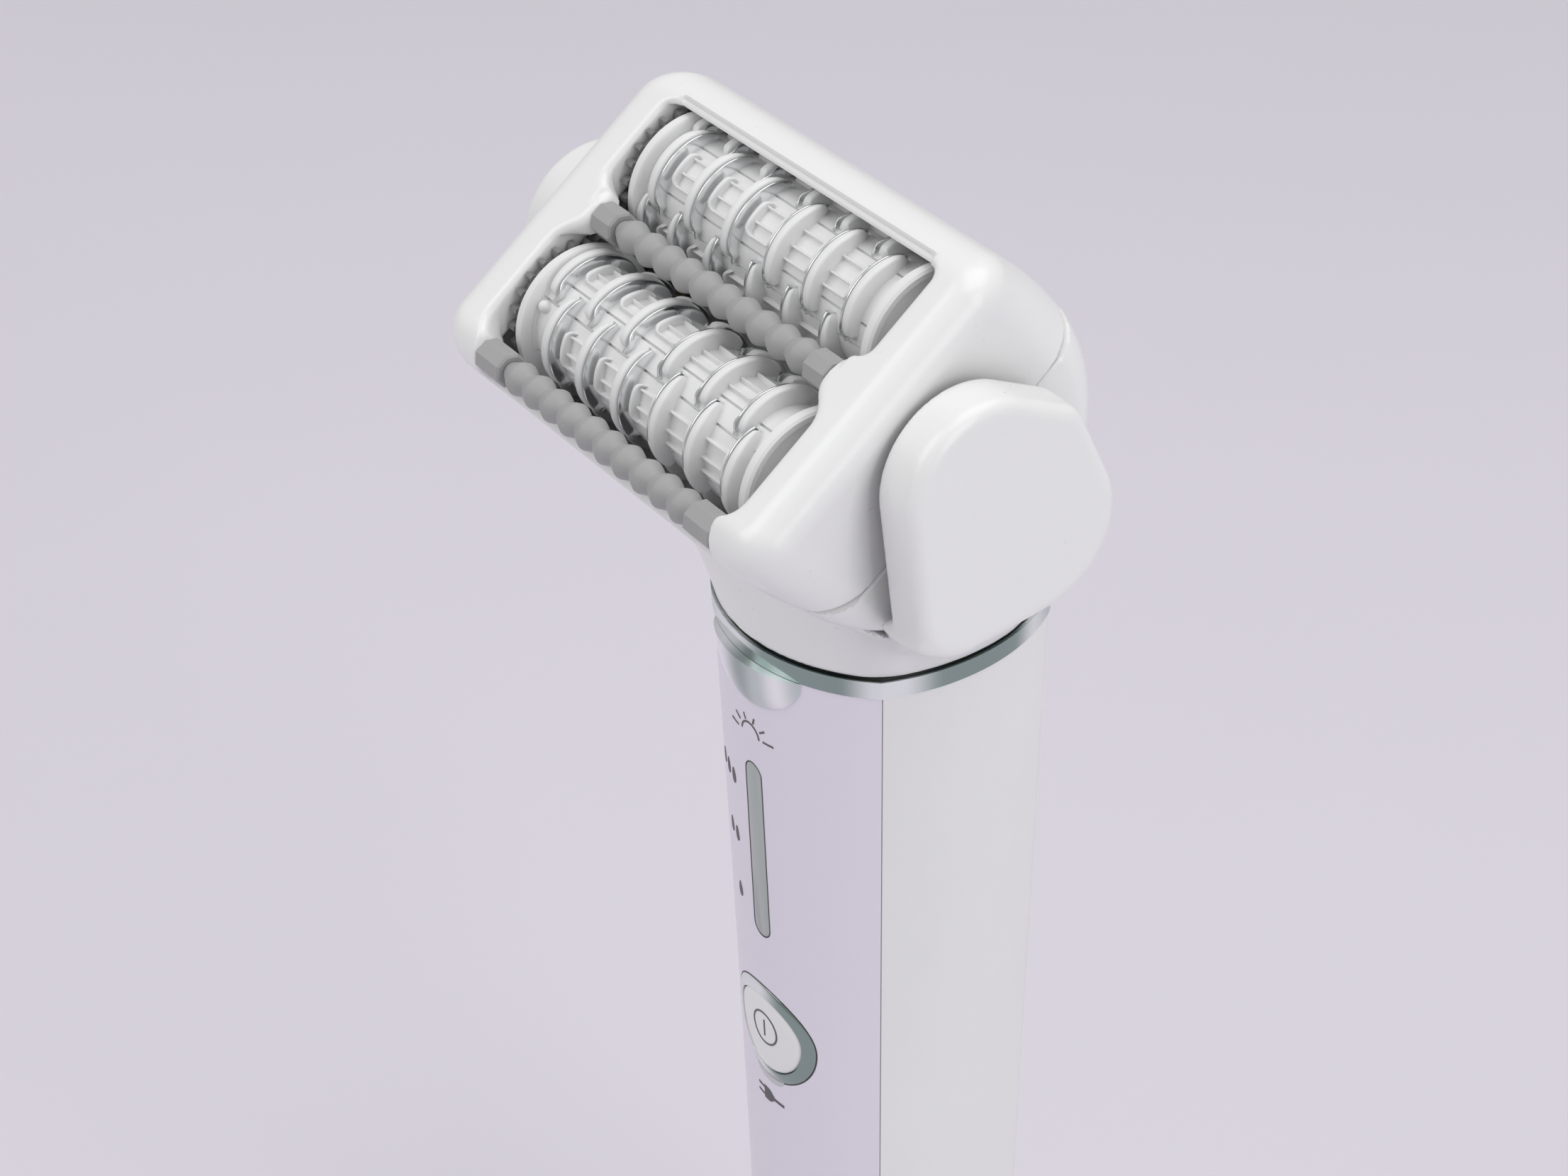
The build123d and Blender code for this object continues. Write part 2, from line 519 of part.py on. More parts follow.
def roller(name, s, n, holder_end):
    """Beaded roller on a pin, and its two eight-sided holders."""
    half = BEADS * BEAD_PITCH / 2
    shoulder_r = BEAD_R - CREST_DROP
    points = [(-half, 0), (-half, VALLEY_R)]
    for bead in range(BEADS):
        crest = (bead + 0.5) * BEAD_PITCH - half
        points += [(crest - CREST_HALF, shoulder_r), (crest, BEAD_R), (crest + CREST_HALF, shoulder_r)]
        points.append((crest + BEAD_PITCH / 2, VALLEY_R))
    points.append((half, 0))
    beads = revolve(make_face(Polyline(points, close=True)), Axis.X)
    stub = rod(STUB_R, -HOLDER_X + 0.1, HOLDER_X - 0.1, 0, 0)
    pin = rod(ROLLER_PIN_R, -PIN_END, PIN_END, 0, 0)
    save(f"{name}_roller", HEAD * Pos(0, s, n) * (beads + stub + pin))
    octagon = RegularPolygon(HOLDER_ACROSS, 8, major_radius=False, rotation=22.5)
    holder = Pos(HOLDER_X, 0, 0) * extrude(Plane.YZ * octagon, amount=holder_end - HOLDER_X)
    holder = holder - rod(ROLLER_PIN_R + RUN, HOLDER_X - 0.1, PIN_END + 0.1, 0, 0)
    return [HEAD * Pos(0, s, n) * piece for piece in both_sides(holder)]


holders = roller("middle", *MID_ROLLER, 16.9) + roller("front", *FRONT_ROLLER, 17.7)
save("roller_holders", group(holders))
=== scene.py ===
import json
import math

import bmesh
import bpy
import numpy as np
from mathutils import Matrix, Vector


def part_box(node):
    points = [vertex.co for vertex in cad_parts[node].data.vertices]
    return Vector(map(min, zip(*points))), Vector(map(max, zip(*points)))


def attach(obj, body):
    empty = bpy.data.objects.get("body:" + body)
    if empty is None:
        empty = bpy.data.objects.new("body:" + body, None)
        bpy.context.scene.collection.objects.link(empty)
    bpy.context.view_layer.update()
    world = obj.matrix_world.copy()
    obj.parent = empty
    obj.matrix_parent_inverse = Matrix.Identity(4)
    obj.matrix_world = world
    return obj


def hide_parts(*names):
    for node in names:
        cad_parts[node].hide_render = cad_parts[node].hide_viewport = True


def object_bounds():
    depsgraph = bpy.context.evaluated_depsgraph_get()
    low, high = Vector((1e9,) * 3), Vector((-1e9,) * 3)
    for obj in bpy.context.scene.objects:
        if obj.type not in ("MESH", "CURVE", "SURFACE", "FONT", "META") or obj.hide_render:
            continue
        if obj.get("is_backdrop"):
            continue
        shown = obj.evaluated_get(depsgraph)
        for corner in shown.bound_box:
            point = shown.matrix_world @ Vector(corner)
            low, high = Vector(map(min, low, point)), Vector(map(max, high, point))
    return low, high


# Looks of an epilator with a tilting head. Shapes are worked out in millimetres, in the frame
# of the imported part: +Z up, +X along the drums, the front faces -Y, base face at the origin.
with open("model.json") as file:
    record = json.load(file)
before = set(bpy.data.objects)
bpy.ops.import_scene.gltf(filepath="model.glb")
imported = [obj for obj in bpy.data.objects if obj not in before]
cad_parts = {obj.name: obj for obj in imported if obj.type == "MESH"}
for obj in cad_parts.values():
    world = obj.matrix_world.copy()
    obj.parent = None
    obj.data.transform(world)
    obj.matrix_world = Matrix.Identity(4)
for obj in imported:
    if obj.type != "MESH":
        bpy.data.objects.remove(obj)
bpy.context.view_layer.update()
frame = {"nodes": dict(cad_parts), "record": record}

MM = 0.001
SLIVER = 0.07  # vertices closer than this are merged
GRIP_H = 130.0
COLLAR_Z = 132.1
FLARE_Z = GRIP_H + 17.0
PIVOT_Y, PIVOT_Z = -10.1, 158.2
TILT = math.radians(38.0)
PIVOT_S, PIVOT_N = 0.7, -6.3
DRUM_S = 7.49
FRAME_N, PART_N = 6.9, -7.5
FRAME_WALL, CAVITY_CORNER = 1.35, 2.4  # corners tight enough for the gears when the frame is lifted
BARREL_R = 16.4
EAR_X0, EAR_X1 = 24.2, 28.9
BUTTON_Z = GRIP_H - 44.3
CORE_R, FIN_R, DISC_R = 5.3, 6.9, 6.7
HUB_ROOM_R = 4.3

# Outline of the neck, and of the yoke's wide lip above it: corner points of one side, then front and back.
SEAM, FLANK, REAR = (12.56, -9.89), (14.1, -3.0), (9.8, 11.2)
FRONT_Y, BACK_Y = -15.5, 13.4
LIP_SEAM, LIP_FLANK, LIP_REAR = (28.2, -17.9), (28.8, -9.0), (26.4, 0.2)
LIP_FRONT_Y, LIP_BACK_Y = -18.6, 0.8
BARREL_END, END_SLOPE, END_ROUND = 22.2, 0.69, 4.0


# ---- fields: negative inside, zero on the surface ----
def soft_min(a, b, k):
    """Union with a blend of about k between the two surfaces."""
    h = np.clip(0.5 + 0.5 * (b - a) / k, 0, 1)
    return b + (a - b) * h - k * h * (1 - h)


def round_max(a, b, r):
    """Intersection whose edge is rounded to radius r."""
    return np.minimum(np.maximum(a, b), -r) + np.hypot(np.maximum(a + r, 0), np.maximum(b + r, 0))


def rounded_box(x, y, cx, cy, hx, hy, r):
    qx = np.abs(x - cx) - hx + r
    qy = np.abs(y - cy) - hy + r
    return np.minimum(np.maximum(qx, qy), 0) + np.hypot(np.maximum(qx, 0), np.maximum(qy, 0)) - r


def circle_through(a, b, c):
    """Centre and radius of the circle through three points, whose coordinates may be arrays."""
    (ax, ay), (bx, by), (cx, cy) = a, b, c
    d = 2 * (ax * (by - cy) + bx * (cy - ay) + cx * (ay - by))
    a2, b2, c2 = ax * ax + ay * ay, bx * bx + by * by, cx * cx + cy * cy
    ux = (a2 * (by - cy) + b2 * (cy - ay) + c2 * (ay - by)) / d
    uy = (a2 * (cx - bx) + b2 * (ax - cx) + c2 * (bx - ax)) / d
    return ux, uy, np.hypot(ax - ux, ay - uy)


def disc(x, y, a, b, c):
    ux, uy, r = circle_through(a, b, c)
    return np.hypot(x - ux, y - uy) - r


def section(x, y, seam, flank, rear, front_y, back_y, corner, seam_round):
    """Outline of a front arc, two side arcs and a back arc."""
    ax = np.abs(x)
    front = disc(x, y, (-seam[0], seam[1]), (0 * seam[0], front_y), seam)
    side = disc(ax, y, seam, flank, rear)
    back = disc(x, y, rear, (0 * rear[0], back_y), (-rear[0], rear[1]))
    return round_max(front, round_max(side, back, corner), seam_round)


def taper(z):
    t = (GRIP_H - z) / GRIP_H
    return 1 - 0.31 * t + 0.09 * t * t, 1 - 0.37 * t + 0.10 * t * t, 1 - 0.05 * t * t


def front_face_y(x, z, h):
    """Y of the grip's front face at (x, z), moved out by h."""
    side, front, back = taper(z)
    half, sag = SEAM[0] * side, (SEAM[1] - FRONT_Y) * front
    radius = (half * half + sag * sag) / (2 * sag)
    return radius + FRONT_Y * front - np.sqrt((radius + h) ** 2 - x * x)


def barrel(x, rho):
    """Body turned about the tilt axis, with its ends rounded off."""
    return round_max((np.abs(x) - BARREL_END) * END_SLOPE, rho - BARREL_R, END_ROUND)


def cone_hull(y, z, a, b):
    """Convex hull of two circles (y, z, r)."""
    (ay, az, ar), (by, bz, br) = a, b
    length = math.hypot(by - ay, bz - az)
    uy, uz = (by - ay) / length, (bz - az) / length
    along = (y - ay) * uy + (z - az) * uz
    off = np.abs((y - ay) * uz - (z - az) * uy)
    sine = (ar - br) / length
    cosine = math.sqrt(1 - sine * sine)
    k = cosine * along - sine * off
    middle = cosine * off + sine * along - ar
    return np.where(k < 0, np.hypot(off, along) - ar,
                    np.where(k > cosine * length, np.hypot(off, along - length) - br, middle))


# Discs (y, z above the grip, radius) whose hull is the outline of an ear.
EAR_DISCS = [(-11.7, 30.3, 7.7), (-4.8, 32.2, 3.0), (-6.1, 24.0, 7.7), (-13.6, 19.6, 4.5)]


def ear_outline(y, z):
    """Leaning, rounded side disc of the yoke."""
    discs = [(cy, cz + GRIP_H, r) for cy, cz, r in EAR_DISCS]
    best = None
    for i, first in enumerate(discs):
        for second in discs[i + 1:]:
            one = cone_hull(y, z, first, second)
            best = one if best is None else np.minimum(best, one)
    return best


# ---- meshes ----
def zero_surface(field, low, high, step):
    """Points and faces where field is zero: one point in each crossed cell, drawn onto the surface."""
    axes = [np.arange(a, b + step, step) for a, b in zip(low, high)]
    shape = [len(a) for a in axes]
    grid = np.meshgrid(*axes, indexing="ij", sparse=True)
    value = np.ascontiguousarray(np.broadcast_to(field(*grid), shape)).astype(np.float32)
    inside = value < 0
    corners = [(i, j, k) for i in (0, 1) for j in (0, 1) for k in (0, 1)]
    hits = sum(inside[i:shape[0] - 1 + i, j:shape[1] - 1 + j, k:shape[2] - 1 + k].astype(np.int8)
               for i, j, k in corners)
    cells = np.argwhere((hits > 0) & (hits < 8))
    index = np.full(hits.shape, -1, np.int64)
    index[tuple(cells.T)] = np.arange(len(cells))
    total, count = np.zeros((len(cells), 3)), np.zeros(len(cells))
    for corner in corners:
        for axis in range(3):
            if corner[axis]:
                continue
            start = cells + corner
            end = start.copy()
            end[:, axis] += 1
            a, b = value[tuple(start.T)], value[tuple(end.T)]
            crossed = (a < 0) != (b < 0)
            share = np.where(crossed, a / np.where(crossed, a - b, 1), 0)
            point = np.tile(np.array(corner, float), (len(cells), 1))
            point[:, axis] += share
            total += point * crossed[:, None]
            count += crossed
    points = np.array(low, float) + (cells + total / count[:, None]) * step
    faces = []
    for axis in range(3):
        u, v = (axis + 1) % 3, (axis + 2) % 3
        first = np.take(inside, range(shape[axis] - 1), axis)
        second = np.take(inside, range(1, shape[axis]), axis)
        edge = np.argwhere(first != second)
        ok = (edge[:, u] > 0) & (edge[:, v] > 0) & (edge[:, u] < shape[u] - 1) & (edge[:, v] < shape[v] - 1)
        edge = edge[ok]
        quad = []
        for du, dv in ((0, 0), (1, 0), (1, 1), (0, 1)):
            cell = edge.copy()
            cell[:, u] -= du
            cell[:, v] -= dv
            quad.append(index[tuple(cell.T)])
        quad = np.stack(quad, 1)
        outward = first[tuple(edge.T)]
        faces.append(np.where(outward[:, None], quad, quad[:, ::-1]))
    faces = np.concatenate(faces)
    nudge = 0.2 * step
    start = points.copy()
    edges = np.concatenate([faces[:, [k, (k + 1) % 4]] for k in range(4)])
    degree = np.bincount(edges.ravel(), minlength=len(points))
    for turn in range(6):
        if turn in (1, 2):
            for axis in range(3):
                near = (np.bincount(edges[:, 0], points[edges[:, 1], axis], len(points))
                        + np.bincount(edges[:, 1], points[edges[:, 0], axis], len(points)))
                points[:, axis] += 0.5 * (near / np.maximum(degree, 1) - points[:, axis])
        f = field(*points.T)
        slope = np.stack([field(*(points + d).T) - field(*(points - d).T)
                          for d in np.eye(3) * nudge], 1) / (2 * nudge)
        move = slope * (f / np.maximum((slope ** 2).sum(1), 0.05))[:, None]
        size = np.linalg.norm(move, axis=1, keepdims=True)
        points = points - move * np.minimum(1, 0.5 * step / np.maximum(size, 1e-9))
    drift = points - start
    far = np.linalg.norm(drift, axis=1, keepdims=True)
    return start + drift * np.minimum(1, 1.3 * step / np.maximum(far, 1e-9)), faces


class Soup:
    """Points and faces of one piece, in millimetres."""

    def __init__(self):
        self.points, self.faces, self.count = [], [], 0

    def add(self, points, faces):
        self.points.append(np.asarray(points, float))
        self.faces += [tuple(int(i) + self.count for i in f) for f in faces]
        self.count += len(points)

    def loft(self, rings, loop=False):
        """Skin over closed rings of equal length."""
        rings = np.asarray(rings, float)
        m, n = rings.shape[:2]
        faces = []
        for i in range(m if loop else m - 1):
            for j in range(n):
                a, b = i * n + j, i * n + (j + 1) % n
                c, d = ((i + 1) % m) * n + (j + 1) % n, ((i + 1) % m) * n + j
                faces.append((a, b, c, d))
        if not loop:
            faces.append(tuple(range(n)))
            faces.append(tuple(range((m - 1) * n, m * n))[::-1])
        self.add(rings.reshape(-1, 3), faces)

    def arrays(self):
        return np.concatenate(self.points), self.faces


def from_head(p):
    """Head frame (X, S front to back, N out of the face) to the part's frame."""
    s, n = p[:, 1] - PIVOT_S, p[:, 2] - PIVOT_N
    c, t = math.cos(TILT), math.sin(TILT)
    return np.stack([p[:, 0], PIVOT_Y + s * c - n * t, PIVOT_Z + s * t + n * c], 1)


def make(name, points, faces, body, material, replaces=(), sharp=38.0, tidy=True):
    mesh = bpy.data.meshes.new(name)
    mesh.from_pydata((np.asarray(points) * MM).tolist(), [], [tuple(f) for f in faces])
    bm = bmesh.new()
    bm.from_mesh(mesh)
    if tidy:
        bmesh.ops.recalc_face_normals(bm, faces=bm.faces)
    else:
        bmesh.ops.remove_doubles(bm, verts=bm.verts, dist=SLIVER * MM)
    bm.to_mesh(mesh)
    bm.free()
    mesh.shade_smooth()
    mesh.set_sharp_from_angle(angle=math.radians(sharp))
    mesh.materials.append(material)
    obj = bpy.data.objects.new(name, mesh)
    bpy.context.scene.collection.objects.link(obj)
    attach(obj, body)
    if replaces:
        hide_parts(*replaces)
    return obj


# ---- materials ----
def surface(name, colour, rough, metallic=0.0, mottle=0.03, grain=900.0, bump=0.02, coat=0.0, vary=0.06,
            stretch=(1, 1, 1), transmission=0.0):
    """Moulded or plated finish: faint mottling, a fine grain in the relief and uneven gloss."""
    mat = bpy.data.materials.new(name)
    mat.use_nodes = True
    nodes, links = mat.node_tree.nodes, mat.node_tree.links
    bsdf = nodes["Principled BSDF"]
    place = nodes.new("ShaderNodeTexCoord")
    mapping = nodes.new("ShaderNodeMapping")
    mapping.inputs["Scale"].default_value = stretch
    links.new(place.outputs["Object"], mapping.inputs["Vector"])
    broad = nodes.new("ShaderNodeTexNoise")
    broad.inputs["Scale"].default_value = grain * 0.08
    broad.inputs["Detail"].default_value = 4.0
    fine = nodes.new("ShaderNodeTexNoise")
    fine.inputs["Scale"].default_value = grain
    fine.inputs["Detail"].default_value = 3.0
    for noise in (broad, fine):
        links.new(mapping.outputs["Vector"], noise.inputs["Vector"])
    ramp = nodes.new("ShaderNodeValToRGB")
    dark = tuple(c * (1 - mottle) for c in colour)
    light = tuple(min(1.0, c * (1 + mottle)) for c in colour)
    ramp.color_ramp.elements[0].position, ramp.color_ramp.elements[1].position = 0.3, 0.7
    ramp.color_ramp.elements[0].color = (*dark, 1)
    ramp.color_ramp.elements[1].color = (*light, 1)
    links.new(broad.outputs["Fac"], ramp.inputs["Fac"])
    links.new(ramp.outputs["Color"], bsdf.inputs["Base Color"])
    gloss = nodes.new("ShaderNodeMapRange")
    gloss.inputs["To Min"].default_value = rough - vary
    gloss.inputs["To Max"].default_value = rough + vary
    links.new(fine.outputs["Fac"], gloss.inputs["Value"])
    links.new(gloss.outputs["Result"], bsdf.inputs["Roughness"])
    relief = nodes.new("ShaderNodeBump")
    relief.inputs["Strength"].default_value = bump
    relief.inputs["Distance"].default_value = 0.0002
    links.new(fine.outputs["Fac"], relief.inputs["Height"])
    links.new(relief.outputs["Normal"], bsdf.inputs["Normal"])
    bsdf.inputs["Metallic"].default_value = metallic
    bsdf.inputs["Coat Weight"].default_value = coat
    bsdf.inputs["Coat Roughness"].default_value = 0.12
    bsdf.inputs["Transmission Weight"].default_value = transmission
    return mat


def paint_light_bands(mat, stops, around):
    """Painted light: soft tone bands multiplied into a piece's colour, standing in for reflections, highlights
    and shade: by angle about Z in degrees from the front, or by X in millimetres.
    """
    nodes, links = mat.node_tree.nodes, mat.node_tree.links
    place = nodes.new("ShaderNodeTexCoord")
    split = nodes.new("ShaderNodeSeparateXYZ")
    links.new(place.outputs["Object"], split.inputs["Vector"])
    low, high = stops[0][0], stops[-1][0]
    fit = nodes.new("ShaderNodeMapRange")
    if around:
        flip = nodes.new("ShaderNodeMath")
        flip.operation = "MULTIPLY"
        flip.inputs[1].default_value = -1.0
        links.new(split.outputs["Y"], flip.inputs[0])
        angle = nodes.new("ShaderNodeMath")
        angle.operation = "ARCTAN2"
        links.new(split.outputs["X"], angle.inputs[0])
        links.new(flip.outputs["Value"], angle.inputs[1])
        links.new(angle.outputs["Value"], fit.inputs["Value"])
        unit = math.radians(1)
    else:
        links.new(split.outputs["X"], fit.inputs["Value"])
        unit = MM
    fit.inputs["From Min"].default_value, fit.inputs["From Max"].default_value = low * unit, high * unit
    ramp = nodes.new("ShaderNodeValToRGB")
    ramp.color_ramp.interpolation = "EASE"
    points = ramp.color_ramp.elements
    while len(points) < len(stops):
        points.new(0.5)
    for point, (at, tone) in zip(points, stops):
        point.position = (at - low) / (high - low)
    for point, (at, tone) in zip(points, stops):
        point.color = (*tone, 1)
    links.new(fit.outputs["Result"], ramp.inputs["Fac"])
    bsdf = nodes["Principled BSDF"]
    mix = nodes.new("ShaderNodeMix")
    mix.data_type = "RGBA"
    mix.blend_type = "MULTIPLY"
    mix.inputs["Factor"].default_value = 1.0
    links.new(bsdf.inputs["Base Color"].links[0].from_socket, mix.inputs["A"])
    links.new(ramp.outputs["Color"], mix.inputs["B"])
    links.new(mix.outputs["Result"], bsdf.inputs["Base Color"])


finish = {
    "white_gloss": surface("white_gloss", (0.83, 0.83, 0.83), 0.30, coat=0.25, mottle=0.008, bump=0.01),
    "white_shell": surface("white_shell", (0.80, 0.80, 0.80), 0.36, coat=0.15, mottle=0.010, bump=0.015),
    "inner_white": surface("inner_white", (0.62, 0.62, 0.62), 0.5, mottle=0.03, bump=0.04),
    "drum_white": surface("drum_white", (0.79, 0.79, 0.79), 0.38, mottle=0.02, bump=0.02, grain=1400),
    "lavender": surface("lavender", (0.80, 0.76, 0.85), 0.34, metallic=0.25, mottle=0.012, bump=0.02,
                        stretch=(1, 1, 0.05), coat=0.2, vary=0.04),
    "chrome": surface("chrome", (0.84, 0.87, 0.86), 0.12, metallic=1.0, mottle=0.03, vary=0.03, bump=0.004),
    "steel": surface("steel", (0.80, 0.81, 0.82), 0.14, metallic=1.0, mottle=0.05, vary=0.05, bump=0.02,
                     stretch=(1, 1, 0.2), grain=2600),
    "motor_steel": surface("motor_steel", (0.55, 0.56, 0.57), 0.32, metallic=1.0, mottle=0.08, bump=0.05,
                           stretch=(0.1, 1, 1)),
    "contact_metal": surface("contact_metal", (0.83, 0.65, 0.34), 0.25, metallic=1.0, mottle=0.08, bump=0.03),
    "roller_grey": surface("roller_grey", (0.36, 0.36, 0.36), 0.52, mottle=0.04, bump=0.05, grain=1800,
                           vary=0.08),
    "gear_grey": surface("gear_grey", (0.20, 0.20, 0.205), 0.45, mottle=0.12, bump=0.05),
    "dark_plastic": surface("dark_plastic", (0.035, 0.035, 0.038), 0.45, mottle=0.15, bump=0.06),
    "black_seal": surface("black_seal", (0.012, 0.012, 0.013), 0.6, mottle=0.2, bump=0.08),
    "window_grey": surface("window_grey", (0.42, 0.45, 0.445), 0.30, mottle=0.02, bump=0.01, coat=0.3),
    "pearl_lens": surface("pearl_lens", (0.92, 0.91, 0.94), 0.16, metallic=0.55, mottle=0.03, bump=0.01,
                          coat=0.6, vary=0.04),
    "clear_lens": surface("clear_lens", (0.80, 0.80, 0.82), 0.12, mottle=0.02, bump=0.01, transmission=0.3),
    "battery_wrap": surface("battery_wrap", (0.10, 0.17, 0.36), 0.35, mottle=0.08, bump=0.03),
    "board_green": surface("board_green", (0.03, 0.17, 0.07), 0.4, mottle=0.18, bump=0.06, grain=600),
    "symbol": surface("symbol", (0.10, 0.10, 0.105), 0.5, mottle=0.1, bump=0.03),
}

# Colours of painted light: dark grey-green and mid bands stand in for dark reflections and shade, white bands
# for highlights.
PAINTED_DARK, PAINTED_WHITE, PAINTED_MID = (0.34, 0.41, 0.39), (1.0, 1.0, 1.0), (0.60, 0.66, 0.64)
# Painted reflections on every chrome piece: white highlight bands and dark grey-green reflection bands by
# angle about Z.
RING_PAINTED_REFLECTIONS = [(-180, PAINTED_MID), (-65, PAINTED_DARK), (-36, PAINTED_DARK), (-14, PAINTED_WHITE), (-4, PAINTED_WHITE), (10, PAINTED_DARK), (38, PAINTED_DARK),
              (50, PAINTED_WHITE), (58, PAINTED_WHITE), (74, PAINTED_DARK), (106, PAINTED_DARK), (120, PAINTED_WHITE), (136, PAINTED_MID), (180, PAINTED_MID)]
# Painted highlight and shade on the lens: white-lit edges and a dark grey-green middle, by X.
LENS_PAINTED_LIGHT = [(-6.6, PAINTED_WHITE), (-3.2, (0.95, 0.94, 0.98)), (0.2, PAINTED_DARK), (2.4, PAINTED_MID), (4.6, PAINTED_WHITE), (6.6, PAINTED_MID)]
paint_light_bands(finish["chrome"], RING_PAINTED_REFLECTIONS, True)
paint_light_bands(finish["pearl_lens"], LENS_PAINTED_LIGHT, False)

slots = {entry["node"]: entry["material_slot"] for entry in frame["record"]["subparts"]}
for name, obj in frame["nodes"].items():
    material = finish[slots[name]]
    obj.data.materials.clear()
    obj.data.materials.append(material)
    obj.data.shade_smooth()
    obj.data.set_sharp_from_angle(angle=math.radians(32))


# ---- head: frame and base ----
def through(n, low, middle, high):
    """Value that runs smoothly through three levels of the frame."""
    a, b, c = PART_N, 0.0, FRAME_N
    return (low * (n - b) * (n - c) / ((a - b) * (a - c)) + middle * (n - a) * (n - c) / ((b - a) * (b - c))
            + high * (n - a) * (n - b) / ((c - a) * (c - b)))


# Half width, front, back and corner radius of the frame at its parting, middle and top.
FRAME_HALF, FRAME_FRONT, FRAME_BACK = (22.2, 23.0, 24.6), (-15.7, -16.9, -17.2), (17.0, 16.2, 14.4)
FRAME_CORNER = (5.4, 4.6, 3.8)


def frame_side(x, s, n, inset, corner):
    """Side walls of the frame, moved in by inset."""
    half = through(n, *FRAME_HALF) - inset
    front, back = through(n, *FRAME_FRONT) + inset, through(n, *FRAME_BACK) - inset
    return rounded_box(x, s, 0, (front + back) / 2, half, (back - front) / 2, corner)


# Centre, half sizes and corner radius of the two drum windows and of the way between them.
BACK_WINDOW, FRONT_WINDOW = (0.15, 6.8, 18.95, 4.6, 1.3), (0.15, -8.35, 18.95, 6.15, 2.4)
ROLLER_WAY = (0, 0, 16.9, 4.0, 0.3)


def opening(x, s):
    """Plan of the two drum windows and the way between them for the middle roller."""
    back = rounded_box(x, s, *BACK_WINDOW)
    front = rounded_box(x, s, *FRONT_WINDOW)
    bridge = rounded_box(x, s, *ROLLER_WAY)
    return soft_min(soft_min(back, front, 0.5), bridge, 1.6)


LEDGE_S, LEDGE_X, LEDGE_DROP = 12.3, 17.9, 0.45
ROOF_N = 4.7
SKIRT, SKIRT_N0, SKIRT_N1, SKIRT_X = 1.2, 3.8, 6.4, 17.6  # light inner wall at the windows' ends
ROOM_GAP, ROOM_X = 0.35, 18.75


def frame_field(x, s, n):
    """Head frame: hollow, open below, with the two windows, the rollers' mouth and the drum rooms cut out."""
    ledge = np.clip((LEDGE_S - s) / 0.2, 0, 1) * np.clip((LEDGE_X - np.abs(x)) / 0.2, 0, 1)
    ledge = ledge * np.clip(s / 2.0, 0, 1)
    top = n - FRAME_N + LEDGE_DROP * ledge
    outer = round_max(frame_side(x, s, n, 0, through(n, *FRAME_CORNER)), top, 3.3)
    mouth = np.maximum(rounded_box(x, n, 0, 8.9, 17.7, 7.0, 0.4), s + 14.0)
    body = round_max(outer, -np.maximum(opening(x, s), -n - 1.0), 0.7)
    body = round_max(body, -mouth, 0.35)
    cavity = np.maximum(frame_side(x, s, n, FRAME_WALL, CAVITY_CORNER), n - ROOF_N)
    body = np.maximum(body, -cavity)
    hole = opening(x, s)
    skirt = np.maximum(np.maximum(-hole, hole - SKIRT), np.maximum(SKIRT_N0 - n, n - SKIRT_N1))
    body = np.minimum(body, np.maximum(skirt, SKIRT_X - np.abs(x)))
    for centre in (-DRUM_S, DRUM_S):
        room = np.maximum(np.hypot(s - centre, n) - FIN_R - ROOM_GAP, np.abs(x) - ROOM_X)
        body = round_max(body, -room, 0.25)
    hub = np.maximum(np.hypot(s - PIVOT_S, np.maximum(n - PIVOT_N, 0)) - HUB_ROOM_R, 0.0)
    body = np.maximum(body, -hub)
    return round_max(body, PART_N + 0.06 - n, 0.25)


SCREW_X, SCREW_S = 16.7, 6.9


def base_field(x, s, n):
    """Lower half of the barrel as a thin shell, with wells for the screws."""
    rho = np.hypot(s - PIVOT_S, n - PIVOT_N)
    shell = np.maximum(barrel(x, rho), -(barrel(x, rho) + 1.3))
    shell = round_max(shell, n - PART_N + 0.06, 0.25)
    hub = np.hypot(s - PIVOT_S, np.maximum(n - PIVOT_N, 0)) - HUB_ROOM_R
    wells = None
    for wx in (-SCREW_X, SCREW_X):
        for ws in (-SCREW_S, SCREW_S):
            well = np.maximum(np.hypot(x - wx, s - ws) - 1.3, n + 18.6)
            wells = well if wells is None else np.minimum(wells, well)
    shell = round_max(shell, -hub, 0.2)
    return round_max(shell, -wells, 0.2)


step = 0.27
points, faces = zero_surface(frame_field, (-25.4, -18, -8.3), (25.4, 18, 7.6), step)
make("head_frame_shell", from_head(points), faces, "frame", finish["white_gloss"],
     ["head_frame"], tidy=False)
points, faces = zero_surface(base_field, (-23, -17, -23.6), (23, 18.5, -6.9), step + 0.08)
make("head_base_shell", from_head(points), faces, "head", finish["white_gloss"],
     ["head_base"], tidy=False)


# ---- yoke ----
BOWL_GAP, THROAT_X, BOSS_R, BOSS_X = 0.45, 22.7, 5.0, 23.7
ARM_FLOOR, POCKET_FLOOR = PIVOT_Z - 10.2, PIVOT_Z - 10


